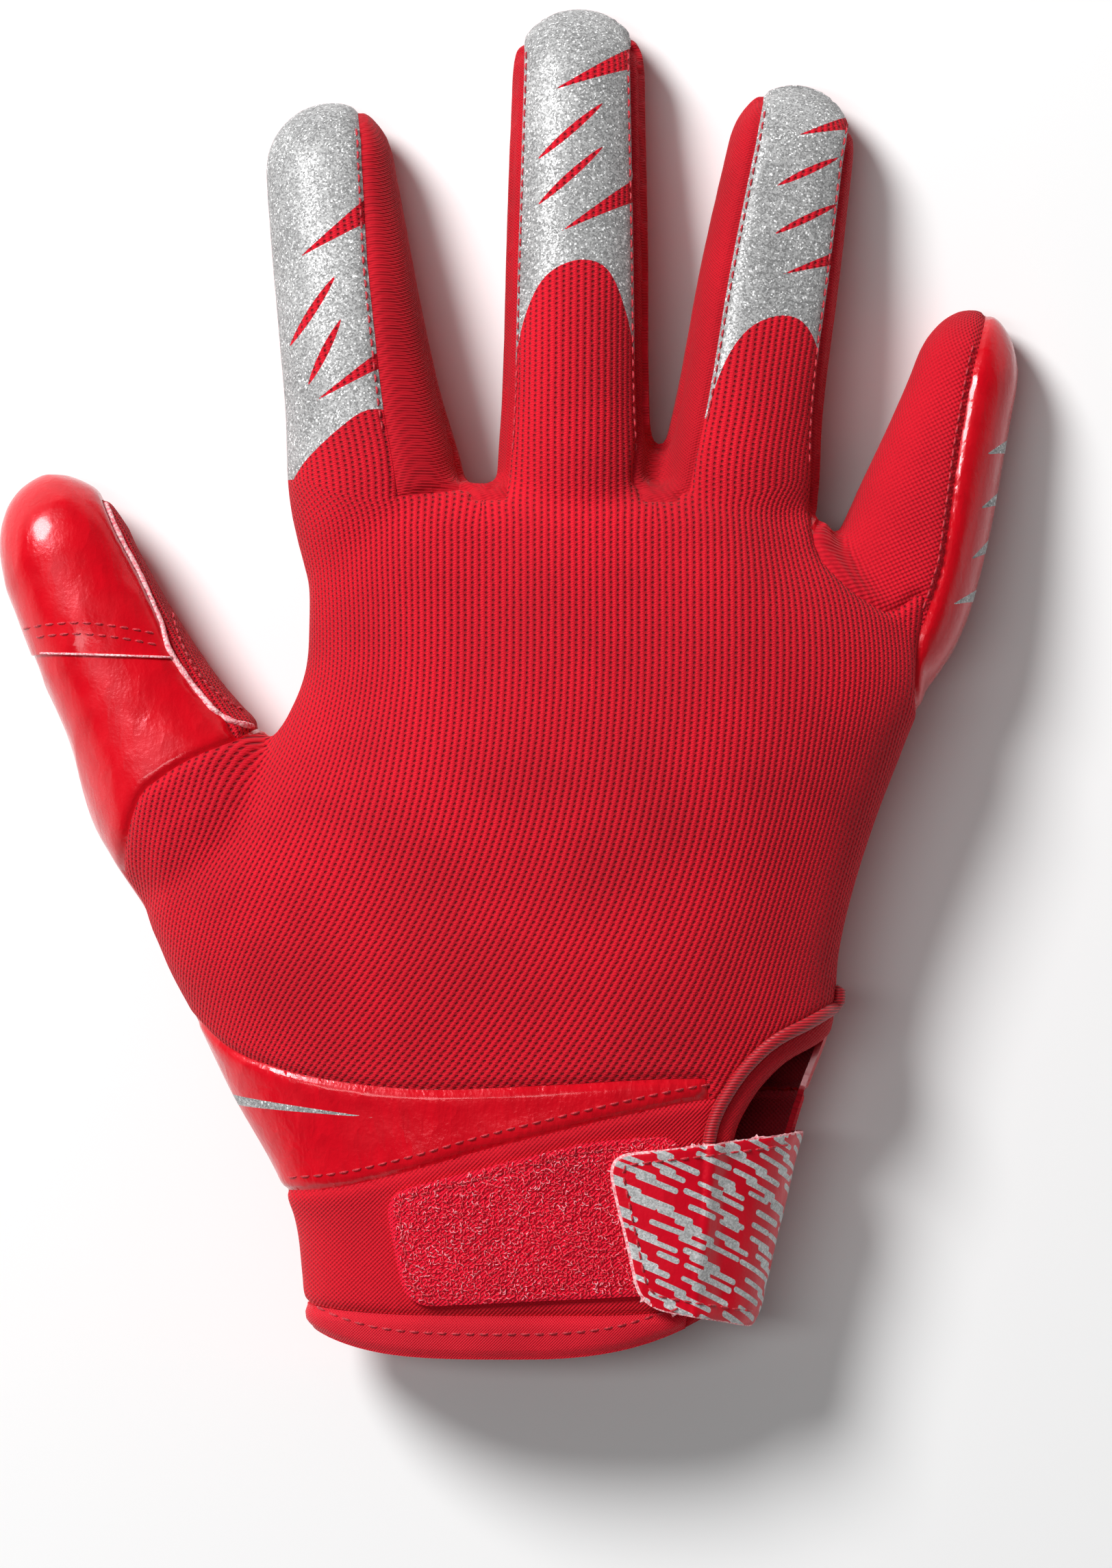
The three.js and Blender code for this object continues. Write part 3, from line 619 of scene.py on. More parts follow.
def roll(name, profile=sewn_edge, glued=()):
    """A panel's vertices and triangles, with its edges rolled in along its seams, but not at glued lines."""
    rows, tri = cuts[name]
    rows = rows.copy()
    rows[:, GAP] = rim_distance(rows, tri)
    rows, tri = cut_rings(rows, tri, (0.4, 0.9, 1.7))
    shift = np.asarray(profile(rows[:, GAP]))
    for line in glued:
        rolled = smoothstep(2.5, 5, np.abs(past_line(line, rows[:, FLAT])))
        shift = shift * np.where(rows[:, 0] < -40, rolled, 1)
    rows[:, PLACE] += rows[:, NORMAL] * shift[:, None]
    rows[:, 2] = np.maximum(rows[:, 2], FLOOR_GAP)
    return rows, tri


outer_faces = []  # vertices and triangles of every finished outer face, for the stitches to lie on


def put_together(name, rows, tri, uv, materials, thickness, face_slots=None):
    """A panel as an object: a closed sheet with its outer face on the skin and its lining inside."""
    outer_faces.append((rows[:, PLACE].copy(), tri))
    obj = new_object(name, rows[:, PLACE], tri)
    mesh = obj.data
    for material in materials:
        mesh.materials.append(material)
    if face_slots is not None:
        mesh.polygons.foreach_set("material_index", np.asarray(face_slots, np.int32))
    layer = mesh.uv_layers.new(name="weave")
    index = np.empty(len(mesh.loops), np.int64)
    mesh.loops.foreach_get("vertex_index", index)
    layer.data.foreach_set("uv", (np.asarray(uv)[index] * 0.1).ravel())
    solid = obj.modifiers.new("thickness", "SOLIDIFY")
    solid.thickness = thickness * 0.001
    solid.offset = -1
    solid.use_rim = True
    solid.material_offset = 1
    apply_modifiers(obj)
    bpy.ops.object.shade_smooth_by_angle(angle=math.radians(50))
    return obj


def finished(obj, slot, *nodes):
    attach(obj, "root")
    if nodes:
        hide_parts(*nodes)
    return obj


def plan_weave(p):
    """Cloth whose weave is straight as seen from above."""
    return p[:, :2]


def dress(name, slot, panel, cloths, weave=plan_weave, thickness=1.0, printed=None):
    """Makes a panel, hangs it on the root body and hides the CAD part of the same name. Its cloths are the
    outer one and a print's, each lined inside.
    """
    rows, tri = panel
    materials = [material for cloth in cloths for material in (cloth, lining)]
    face_slots = None if printed is None else np.where(printed, 2, 0)
    obj = put_together(name, rows, tri, weave(rows[:, FLAT]), materials, thickness, face_slots)
    return finished(obj, slot, name)


def smooth_piece(name, mesh, material, slot, *nodes):
    """Makes a smooth piece of one material, hangs it on the root body and hides any CAD parts it stands for.
    """
    obj = new_object(name, *mesh)
    obj.data.materials.append(material)
    only(obj)
    bpy.ops.object.shade_smooth()
    return finished(obj, slot, *nodes)


# Cloth and leather: node helpers, and the materials that several pieces share.


def group_tree(name, inputs, outputs):
    """An empty node group with float or vector sockets."""
    tree = bpy.data.node_groups.new(name, "ShaderNodeTree")
    for label, kind, value in inputs:
        socket = tree.interface.new_socket(label, in_out="INPUT", socket_type=f"NodeSocket{kind}")
        socket.default_value = value
    for label, kind in outputs:
        tree.interface.new_socket(label, in_out="OUTPUT", socket_type=f"NodeSocket{kind}")
    return tree, tree.nodes.new("NodeGroupInput"), tree.nodes.new("NodeGroupOutput")


def feed(tree, socket, value):
    """Gives a socket a value, or a link if the value is a socket too."""
    if isinstance(value, bpy.types.NodeSocket):
        tree.links.new(value, socket)
    elif value is not None:
        socket.default_value = value


def calc(tree, operation, a, b=None, c=None):
    node = tree.nodes.new("ShaderNodeMath")
    node.operation = operation
    for socket, value in zip(node.inputs, (a, b, c)):
        feed(tree, socket, value)
    return node.outputs[0]


def weighted(tree, start, *terms):
    """The start value plus each term's value times its weight."""
    total = start
    for value, weight in terms:
        total = calc(tree, "MULTIPLY_ADD", value, weight, total)
    return total


def wave(tree, turns, shape="SINE"):
    return calc(tree, shape, calc(tree, "MULTIPLY", turns, 2 * math.pi))


def centred_part(tree, value):
    """What is past the whole number, from -0.5 to 0.5."""
    return calc(tree, "SUBTRACT", calc(tree, "FRACT", value), 0.5)


def band_pass(tree, value, low, high, to_low=0.0, to_high=1.0):
    """A smooth step from one value to another, as a value goes from low to high."""
    node = tree.nodes.new("ShaderNodeMapRange")
    node.interpolation_type = "SMOOTHSTEP"
    settings = {"Value": value, "From Min": low, "From Max": high, "To Min": to_low, "To Max": to_high}
    for key, number in settings.items():
        feed(tree, node.inputs[key], number)
    return node.outputs["Result"]


def blend_colour(tree, share, a, b, mode="MIX"):
    node = tree.nodes.new("ShaderNodeMix")
    node.data_type = "RGBA"
    node.blend_type = mode
    feed(tree, node.inputs["Factor"], share)
    feed(tree, node.inputs[6], a)
    feed(tree, node.inputs[7], b)
    return node.outputs[2]


def noise(tree, vector, scale, detail=2.0):
    node = tree.nodes.new("ShaderNodeTexNoise")
    feed(tree, node.inputs["Vector"], vector)
    node.inputs["Scale"].default_value = scale
    node.inputs["Detail"].default_value = detail
    return node.outputs["Fac"]


def scaled(tree, vector, factor):
    node = tree.nodes.new("ShaderNodeVectorMath")
    node.operation = "MULTIPLY"
    feed(tree, node.inputs[0], vector)
    node.inputs[1].default_value = factor
    return node.outputs[0]


def parts_of(tree, vector):
    node = tree.nodes.new("ShaderNodeSeparateXYZ")
    feed(tree, node.inputs[0], vector)
    return node.outputs[0], node.outputs[1]


def grey_of(tree, value):
    node = tree.nodes.new("ShaderNodeCombineColor")
    for socket in node.inputs:
        tree.links.new(value, socket)
    return node.outputs[0]


def cells(tree, place, scale):
    """Three numbers that differ from cell to cell of a scatter."""
    cell = tree.nodes.new("ShaderNodeTexVoronoi")
    tree.links.new(place, cell.inputs["Vector"])
    cell.inputs["Scale"].default_value = scale
    tone = tree.nodes.new("ShaderNodeSeparateColor")
    tree.links.new(cell.outputs["Color"], tone.inputs[0])
    return tone.outputs


def rgb(red, green, blue):
    """An sRGB colour, 0 to 255, as linear."""
    linear = [((v / 255 + 0.055) / 1.055) ** 2.4 if v > 10.3 else v / 255 / 12.92 for v in (red, green, blue)]
    return (*linear, 1.0)


def new_material(name, roughness=0.8, coat=0.0, coat_roughness=0.1, sheen=0.0, specular=0.5):
    """A material, its tree and shader, and two places in mm: on the cloth, and in the glove."""
    material = bpy.data.materials.new(name)
    material.use_nodes = True
    tree = material.node_tree
    shader = tree.nodes["Principled BSDF"]
    settings = {
        "Roughness": roughness, "Coat Weight": coat, "Coat Roughness": coat_roughness,
        "Sheen Weight": sheen, "Sheen Roughness": 0.4, "Specular IOR Level": specular,
    }
    for key, value in settings.items():
        shader.inputs[key].default_value = value
    uv = tree.nodes.new("ShaderNodeUVMap")
    uv.uv_map = "weave"
    place = tree.nodes.new("ShaderNodeTexCoord").outputs["Object"]
    cloth, place = scaled(tree, uv.outputs[0], (10, 10, 0)), scaled(tree, place, (1000, 1000, 1000))
    return material, tree, shader, cloth, place


def paint(tree, shader, value, low, high, first, second):
    """A base colour that goes from one to another as a value goes from low to high."""
    colour = blend_colour(tree, band_pass(tree, value, low, high), first, second)
    tree.links.new(colour, shader.inputs["Base Color"])


def add_bump(tree, shader, height, distance):
    bump = tree.nodes.new("ShaderNodeBump")
    bump.inputs["Strength"].default_value = 1.0
    bump.inputs["Distance"].default_value = distance * 0.001
    tree.links.new(height, bump.inputs["Height"])
    tree.links.new(bump.outputs[0], shader.inputs["Normal"])


def use_group(tree, group, **values):
    node = tree.nodes.new("ShaderNodeGroup")
    node.node_tree = group
    for key, value in values.items():
        feed(tree, node.inputs[key], value)
    return node.outputs


def knit_group():
    """Rib knit: ridges along V, with rows of pin holes in the furrows between them, and painted shade that
    darkens its low places.
    """
    tree, given, result = group_tree(
        "rib knit",
        [("Cloth", "Vector", (0, 0, 0)), ("Rib", "Float", 1.2), ("Course", "Float", 0.87)],
        [("Height", "Float"), ("Dark", "Float")],
    )
    cloth = given.outputs["Cloth"]
    u, v = parts_of(tree, cloth)
    wobbly = weighted(tree, u, (calc(tree, "SUBTRACT", noise(tree, cloth, 0.6), 0.5), 0.35))
    wale = calc(tree, "DIVIDE", wobbly, given.outputs["Rib"])
    across_rib = centred_part(tree, wale)
    off_rib = calc(tree, "ABSOLUTE", across_rib)
    ridge = wave(tree, across_rib, "COSINE")
    # the holes of every second furrow lie half a course higher
    parity = calc(tree, "MODULO", calc(tree, "ABSOLUTE", calc(tree, "ROUND", wale)), 2.0)
    course = weighted(tree, calc(tree, "DIVIDE", v, given.outputs["Course"]), (parity, 0.5))
    away = (calc(tree, "SUBTRACT", 0.5, off_rib), 4.6), (centred_part(tree, course), 3.4)
    squares = [calc(tree, "POWER", calc(tree, "MULTIPLY", *way), 2.0) for way in away]
    hole = band_pass(tree, calc(tree, "SQRT", calc(tree, "ADD", *squares)), 1.15, 0.45)
    groove = band_pass(tree, off_rib, 0.2, 0.5)
    stitch = wave(tree, weighted(tree, calc(tree, "DIVIDE", v, 0.43), (off_rib, 1.1)))
    fuzz = noise(tree, cloth, 5.0, 3)
    height = weighted(tree, 0.0, (ridge, 0.3), (stitch, 0.13), (fuzz, 0.35), (hole, -0.9))
    # Dark is painted shade in the furrows and where the fuzz lies low; the pin holes are darker partly
    # because the darker lining shows through them and partly as painted shade.
    dark = weighted(tree, 0.65, (hole, 0.7), (groove, 0.3), (fuzz, -1.3))
    tree.links.new(height, result.inputs["Height"])
    tree.links.new(dark, result.inputs["Dark"])
    return tree


def weave_group():
    """Plain weave or fine mesh: threads that pass over and under each other at a pitch, with painted shade
    where they lie low.
    """
    tree, given, result = group_tree(
        "plain weave",
        [("Cloth", "Vector", (0, 0, 0)), ("Warp", "Float", 1.0), ("Weft", "Float", 1.0)],
        [("Height", "Float"), ("Dark", "Float")],
    )
    u, v = parts_of(tree, given.outputs["Cloth"])
    warp = wave(tree, calc(tree, "DIVIDE", u, given.outputs["Warp"]))
    weft = wave(tree, calc(tree, "DIVIDE", v, given.outputs["Weft"]))
    cross = calc(tree, "MULTIPLY", warp, weft)
    fuzz = noise(tree, given.outputs["Cloth"], 4.0, 3)
    height = weighted(tree, 0.0, (cross, 0.5), (fuzz, 0.5))
    # Dark is painted shade: darker where a thread dips under the other and where the fuzz lies low.
    dark = weighted(tree, 0.4, (cross, -0.35), (fuzz, -0.8))
    tree.links.new(height, result.inputs["Height"])
    tree.links.new(dark, result.inputs["Dark"])
    return tree


def leather_group():
    """Slick synthetic leather: a fine orange-peel grain over longer, shallow creases."""
    tree, given, result = group_tree(
        "slick leather",
        [("Place", "Vector", (0, 0, 0)), ("Creases", "Float", 1.0)],
        [("Height", "Float"), ("Dark", "Float")],
    )
    grain = noise(tree, given.outputs["Place"], 1.6, 3)
    folds = noise(tree, scaled(tree, given.outputs["Place"], (1, 0.45, 1)), 0.32, 3)
    ridged = calc(tree, "ABSOLUTE", calc(tree, "SUBTRACT", folds, 0.5))
    creases = calc(tree, "MULTIPLY", ridged, given.outputs["Creases"])
    tree.links.new(weighted(tree, 0.0, (grain, 0.1), (creases, -2.2)), result.inputs["Height"])
    tree.links.new(weighted(tree, -0.35, (folds, 0.9)), result.inputs["Dark"])
    return tree


RIB_KNIT, PLAIN_WEAVE, SLICK_LEATHER = knit_group(), weave_group(), leather_group()


def cloth_material(name, group, light, dark, bump, roughness=0.85, sheen=0.15, patches=0.12, **pitch):
    """A cloth: a weave that bumps it and darkens its low places with painted shade, and slow patches of
    lighter and darker cloth.
    """
    material, tree, shader, cloth, place = new_material(name, roughness=roughness, sheen=sheen, specular=0.25)
    shader.inputs["Sheen Tint"].default_value = (1.0, 0.35, 0.35, 1)
    made = use_group(tree, group, Cloth=cloth, **pitch)
    share = calc(tree, "MAXIMUM", calc(tree, "MINIMUM", made["Dark"], 1.0), 0.0)
    patch = band_pass(tree, noise(tree, place, 0.05, 3), 0.3, 0.7, 1 - patches, 1 + patches * 0.3)
    colour = blend_colour(tree, 1.0, blend_colour(tree, share, light, dark), grey_of(tree, patch), "MULTIPLY")
    tree.links.new(colour, shader.inputs["Base Color"])
    add_bump(tree, shader, made["Height"], bump)
    return material


def leather_material(name, light, dark, creases, roughness=0.22, coat=0.4):
    """Glossy leather or coated cloth: a clear coat over uneven colour, creased and worn in patches."""
    material, tree, shader, _, place = new_material(name, roughness=roughness, coat=coat, coat_roughness=0.13)
    shader.inputs["Specular Tint"].default_value = (1.0, 0.4, 0.46, 1)
    made = use_group(tree, SLICK_LEATHER, Place=place, Creases=creases)
    colour = blend_colour(tree, calc(tree, "MAXIMUM", made["Dark"], 0.0), light, dark)
    tree.links.new(colour, shader.inputs["Base Color"])
    worn = band_pass(tree, noise(tree, place, 0.12, 4), 0.35, 0.75, roughness - 0.05, roughness + 0.14)
    tree.links.new(worn, shader.inputs["Roughness"])
    add_bump(tree, shader, made["Height"], 0.5)
    return material


# Inside of every panel: brushed knit, deep red
lining = cloth_material(
    "lining knit", PLAIN_WEAVE, rgb(160, 14, 32), rgb(90, 3, 13), 0.15, Warp=0.8, Weft=0.8
)


# Back of the hand: one piece of matt rib knit, from the wrist band to the fingertips.
# The ribs run up the fingers, and swing round towards the thumb lower down. The fingertips carry a
# silver glitter print with slanted slits.


def finger_weave(name, p):
    """Across and along a finger, with the way across measured round it."""
    along, side = finger_place(name, p)
    half, deep, z = finger_section(name, along)
    round_it = np.arctan2(side / half, (p[:, 2] - z) / deep)
    return np.stack([round_it * (half + deep) / 2, along], 1)


SWING_START, SWING_REACH = 130, 85  # the ribs are straight above, and swing more and more below
SWING_SLOPES = [-60, 50], [0.84, 0.47]  # their final slope, from the thumb's side to the outer side


def hand_weave(p):
    """Across and along the hand, and how the ribs of the knit swing."""
    x, z, half, deep = palm_section(p[:, 1])
    drop = np.maximum(0, z + deep - p[:, 2])
    u = p[:, 0] + np.sign(p[:, 0] - x) * 0.8 * drop * smoothstep(0.5, 1.0, np.abs(p[:, 0] - x) / half)
    t = np.clip((SWING_START - p[:, 1]) / SWING_REACH, 0, 1)
    swing = SWING_REACH * (t**3 - 0.5 * t**4) + np.maximum(0, SWING_START - SWING_REACH - p[:, 1])
    slope = np.interp(p[:, 0], *SWING_SLOPES)
    return u + slope * swing, p[:, 1]


def back_weave(p):
    """The hand's weave, which runs over into that of the nearest finger."""
    u, v = hand_weave(p)
    share = smoothstep(PALM_LENGTH - 8, PALM_LENGTH + 14, p[:, 1])
    best = np.full(len(p), -np.inf)
    fu, fv = u.copy(), v.copy()
    for name in ("index", "middle", "ring"):
        along, side = finger_place(name, p)
        half = finger_section(name, along)[0]
        near = -np.abs(side) / half
        a, b = finger_weave(name, p).T
        start = along_at(name, PALM_LENGTH)
        x0 = on_finger(name, start, 0)[0]
        pick = near > best
        fu, fv = np.where(pick, a + x0, fu), np.where(pick, b - start + PALM_LENGTH, fv)
        best = np.maximum(best, near)
    return np.stack([u + (fu - u) * share, v + (fv - v) * share], 1)


PIXEL = 0.12  # millimetres to a pixel of the photograph
PHOTO_X, PHOTO_Y = 812, 1975  # the drawing's origin in the photograph


def pixel(x, y):
    """A place in the photograph as a plan place."""
    return (x - PHOTO_X) * PIXEL, (PHOTO_Y - y) * PIXEL


# Each print: its outline, and its slits as wedges: thick end, thin end, width at the thick end.
PRINTS = {
    "index": {
        "edge": [(430, 702), (452, 672), (500, 628), (540, 603), (600, 600), (640, 560), (640, 100),
                 (300, 100), (300, 702)],
        "slits": [((536, 310), (438, 378), 34), ((492, 405), (424, 508), 12), ((500, 470), (452, 566), 12),
                  ((556, 530), (462, 590), 24)],
    },
    "middle": {
        "edge": [(742, 618), (752, 540), (766, 470), (786, 422), (812, 396), (848, 384), (880, 392),
                 (900, 420), (916, 470), (930, 528), (944, 470), (950, 380), (990, 300), (990, -40),
                 (700, -40), (700, 618)],
        "slits": [((926, 80), (808, 132), 34), ((882, 150), (785, 235), 11), ((882, 215), (785, 303), 11),
                  ((926, 280), (818, 343), 32)],
    },
    "ring": {
        "edge": [(1028, 614), (1046, 560), (1070, 510), (1100, 478), (1140, 464), (1172, 474), (1192, 510),
                 (1204, 560), (1208, 606), (1222, 540), (1270, 420), (1290, 100), (1060, 90), (1010, 300),
                 (1010, 614)],
        "slits": [((1250, 172), (1166, 196), 26), ((1226, 228), (1134, 272), 10),
                  ((1226, 296), (1130, 344), 10), ((1236, 372), (1140, 404), 24)],
    },
}
BROAD_SLIT = 15  # wider ones taper from the print's edge, and narrower ones are pointed at both ends
UNPRINTED = -50.0


def wedge(q, thick, thin, width):
    """Positive inside a tapered slit, given by its ends and its greatest width in the photograph's pixels."""
    a, b = np.array(pixel(*thick)), np.array(pixel(*thin))
    edge = unit(b - a)
    broad = width > BROAD_SLIT
    if broad:
        a = a - edge * 1.5
    length = np.linalg.norm(b - a)
    t = ((q[:, :2] - a) @ edge) / length
    off = np.abs((q[:, 0] - a[0]) * edge[1] - (q[:, 1] - a[1]) * edge[0])
    room = np.clip(1 - t, 0, 1) if broad else np.clip(4 * t * (1 - t), 0, 1) ** 0.8
    return np.minimum(room * width * PIXEL / 2 - off, np.minimum(t, 1 - t) * length)


def print_field(p):
    """Positive where the silver is printed."""
    value = np.full(len(p), UNPRINTED)
    for name, art in PRINTS.items():
        along, side = finger_place(name, p)
        half = finger_section(name, along)[0]
        near = (np.abs(side) < 1.5 * half) & (along > 10)
        q = p[near]
        g = inside(spline([pixel(*c) for c in art["edge"]], 4), q)
        for slit in art["slits"]:
            g = np.minimum(g, -wedge(q, *slit))
        value[near] = np.maximum(value[near], g)
    return value


def refine_near(rows, tri, column, reach, size):
    """Halves the edges longer than size near a column's 0."""

    def halves(a, b):
        long = np.linalg.norm(rows[a, PLACE] - rows[b, PLACE], axis=1) > size
        near = np.minimum(np.abs(rows[a, column]), np.abs(rows[b, column])) < reach
        return np.where(long & near, 0.5, np.nan)

    return divide(rows, tri, halves)


def imprint(rows, tri, field, levels=((0.8, 0.6), (0.35, 0.32))):
    """Makes the mesh fine along a print's edge and cuts it there."""
    for reach, size in levels:
        rows[:, MARK] = field(rows[:, FLAT])
        rows, tri = refine_near(rows, tri, MARK, reach, size)
    rows[:, MARK] = field(rows[:, FLAT])
    return split(rows, tri, MARK)


def glitter_material(name, dim=0.2, bright=0.46, painted_glint=0.6):
    """Silver glitter ink: tiny flakes, most of them grey and a few with painted white glints."""
    material, tree, shader, _, place = new_material(name, roughness=0.5)
    red, green, blue = cells(tree, place, 3.8)[:3]
    grey = band_pass(tree, red, 0.0, 1.0, dim, bright)
    # A few flakes get a painted glint: white added to their base colour.
    shade = weighted(tree, grey, (band_pass(tree, green, 0.88, 0.99), painted_glint))
    slow = band_pass(tree, noise(tree, place, 0.09, 3), 0.3, 0.7, 0.88, 1.1)
    tree.links.new(grey_of(tree, calc(tree, "MULTIPLY", shade, slow)), shader.inputs["Base Color"])
    shader.inputs["Metallic"].default_value = 0.2
    tree.links.new(band_pass(tree, blue, 0.0, 1.0, 0.38, 0.75), shader.inputs["Roughness"])
    add_bump(tree, shader, blue, 0.1)
    return material


knit = cloth_material(
    "back rib knit", RIB_KNIT, rgb(212, 10, 36), rgb(128, 0, 18), 0.26, patches=0.14, Rib=1.2, Course=0.87
)
glitter = glitter_material("silver glitter")
rows, tri, printed = imprint(*roll("back_panel", lambda gap: sewn_edge(gap, 0.5)), print_field)
dress("back_panel", "knit_back", (rows, tri), [knit, glitter], back_weave, printed=printed)


# Strips between the fingers, and the back of the little finger: matt cloth with fine cross ribs, and
# a coarser woven mesh.

cross_rib = cloth_material(
    "cross ribbed strip", PLAIN_WEAVE, rgb(190, 8, 30), rgb(100, 0, 12), 0.16, Warp=0.9, Weft=0.5
)


def side_weave(p):
    """Cloth whose weave is straight as seen from the side."""
    return np.stack([p[:, 2] + 0.5 * p[:, 0], p[:, 1]], 1)


for name in ("fourchette_index_middle", "fourchette_middle_ring", "fourchette_ring_little"):
    dress(name, "side_strips", roll(name), [cross_rib], side_weave)

mesh_cloth = cloth_material(
    "little finger mesh", PLAIN_WEAVE, rgb(205, 8, 34), rgb(105, 0, 14), 0.25, Warp=0.95, Weft=0.95
)
dress(
    "little_finger_back", "finger_mesh", roll("little_finger_back"), [mesh_cloth],
    lambda p: finger_weave("little", p),
)


# Grip leather: the palm with the fingers' fronts, and the thumb's base and tip. Glossy and tacky, in
# long soft creases. The thumb's tip laps over its base.

grip = leather_material("grip leather", rgb(200, 3, 22), rgb(150, 0, 10), 0.2, roughness=0.26)
SIDE_BARS = [((1482, 648), (1440, 664), 28), ((1468, 724), (1430, 744), 26),
             ((1452, 794), (1416, 818), 24), ((1444, 864), (1388, 884), 28)]


def side_bars(p):
    """Positive inside the silver bars along the outer side of the little finger."""
    value = np.full(len(p), UNPRINTED)
    near = (p[:, 0] > 60) & (p[:, 2] > 4)
    value[near] = np.maximum.reduce([wedge(p[near], *bar) for bar in SIDE_BARS])
    return value


rows, tri, printed = imprint(*roll("palm_panel", glued=[THUMB_ROOT]), side_bars)
dress("palm_panel", "grip_leather", (rows, tri), [grip, glitter], printed=printed)
dress("thumb_base", "grip_leather", roll("thumb_base", glued=[THUMB_ROOT, THUMB_LAP]), [grip])

LAP_PROUD = 0.4  # how far the tip's leather stands over the base's at the lap
rows, tri = roll("thumb_tip", glued=[THUMB_LAP])
proud = LAP_PROUD * (1 - smoothstep(4, 16, beyond(THUMB_LAP, rows[:, FLAT])))
rows[:, PLACE] += rows[:, NORMAL] * proud[:, None]
rows[:, 2] = np.maximum(rows[:, 2], FLOOR_GAP)
dress("thumb_tip", "grip_leather", (rows, tri), [grip])

thumb_knit = cloth_material(
    "thumb knit", RIB_KNIT, rgb(205, 8, 34), rgb(105, 0, 14), 0.3, Rib=1.1, Course=0.8
)
dress("thumb_gusset", "thumb_knit", roll("thumb_gusset"), [thumb_knit], lambda p: finger_weave("thumb", p))


# Wrist: a band of glossy leather over the back, the cuff of matt stretch cloth with its edge folded into
# a hem, and the woven tape in the open vent. All are sewn together at their seams.

band_leather = leather_material("wrist leather", rgb(206, 5, 26), rgb(150, 0, 12), 0.4, roughness=0.26)
SLASH = ((338, 1604), (552, 1626), 16)
rows, tri, printed = imprint(*roll("wrist_band"), lambda p: wedge(p, *SLASH))
dress("wrist_band", "wrist_leather", (rows, tri), [band_leather, glitter], printed=printed)

cuff_cloth = cloth_material(
    "cuff stretch cloth", PLAIN_WEAVE, rgb(205, 9, 34), rgb(118, 0, 15), 0.24, Warp=0.75, Weft=0.75
)
dress("cuff", "cuff_fabric", roll("cuff"), [cuff_cloth])

hem_cloth = cloth_material(
    "hem stretch cloth", PLAIN_WEAVE, rgb(212, 12, 38), rgb(130, 0, 18), 0.12, roughness=0.6,
    Warp=0.5, Weft=0.5,
)
folded_hem = roll("cuff_hem", lambda gap: 0.9 * (1 - np.exp(-((gap / 1.1) ** 2))) - 0.2)
dress("cuff_hem", "hem_fabric", folded_hem, [hem_cloth], thickness=2.0)

tape = cloth_material("vent tape", PLAIN_WEAVE, rgb(185, 8, 28), rgb(95, 0, 12), 0.14, Warp=0.6, Weft=0.6)
dress("vent_facing", "facing_fabric", roll("vent_facing"), [tape])


# Piping: a round cord in a ribbed satin cover, sewn along the vent's edge, with its end turned in at the
# top. The strap crosses over it.


def tube(line, radius, sides=10):
    """Vertices and faces of a round cord along a line of points, with its ends closed."""
    line = np.asarray(line, float)
    along = unit(np.gradient(line, axis=0))
    side = unit(np.cross(along, [0, 0, 1.0]))
    up = np.cross(side, along)
    angle = np.arange(sides) * 2 * math.pi / sides
    radius = np.broadcast_to(radius, len(line))[:, None, None]
    ring = side[:, None] * np.cos(angle)[None, :, None] + up[:, None] * np.sin(angle)[None, :, None]
    return loft((line[:, None] + ring * radius)[::-1])


def tree_of(surfaces):
    """A search tree over several surfaces."""
    verts, faces = [], []
    for co, tri in surfaces:
        faces += (tri + len(verts)).tolist()
        verts += co.tolist()
    return BVHTree.FromPolygons(verts, faces)


def drop(tree, x, y):
    """The top of the glove under a plan place: the point and its normal, or None."""
    hit, normal, _, _ = tree.ray_cast(Vector((x, y, 90)), Vector((0, 0, -1)))
    return (None, None) if hit is None else (np.array(hit), np.array(normal if normal.z > 0 else -normal))


CORD_RADIUS, CORD_END_RADIUS = 1.15, 0.8
CORD_REACH_X = 51.5  # the cord doesn't go further round the outer side than this
skin_tree = tree_of([(skin, skin_tri)])
route = []
for x, y in vent_curve[below_mouth(vent_curve) < -2.0]:
    hit, _ = drop(skin_tree, min(x, CORD_REACH_X), y)
    if hit is not None:
        route.append(hit + [0, 0, 0.15])
turned_in = route[-1] + np.array([[0.9, 1.2, -0.2], [1.0, 2.6, -0.5], [0.2, 3.4, -0.9]])
route = np.vstack([route, turned_in])
cord_radius = np.full(len(route), CORD_RADIUS)
cord_radius[-1] = CORD_END_RADIUS
cord_cloth, tree, shader, _, place = new_material("satin piping", roughness=0.5, sheen=0.2)
winding = parts_of(tree, place)[1]
ribs = wave(tree, calc(tree, "DIVIDE", winding, 0.5))
# The cover's colour is painted shade and highlight: darker in the grooves between its ribs and lighter on
# their crests.
paint(tree, shader, ribs, -1.0, 1.0, rgb(130, 2, 18), rgb(198, 8, 32))
add_bump(tree, shader, ribs, 0.06)
smooth_piece("vent_piping", tube(route, cord_radius, 12), cord_cloth, "piping_fabric", "vent_piping")


# Loop patch: a pad of woven backing, stitched to the cuff along its edge and covered in thousands of
# tiny loops that catch the light, with painted highlights on a share of them. The strap's end lies on it.


def rounded(corners, radius, steps=7):
    """A plan outline with rounded corners, from shares of the palm."""
    p = np.array(corners) * [PALM_WIDTH, PALM_LENGTH]
    out = []
    for i, corner in enumerate(p):
        legs = [p[i - 1] - corner, p[(i + 1) % len(p)] - corner]
        a, b = (corner + leg * min(radius / np.linalg.norm(leg), 1 / 3) for leg in legs)
        out += [(1 - t) ** 2 * a + 2 * t * (1 - t) * corner + t * t * b for t in np.linspace(0, 1, steps)]
    return np.array(out)


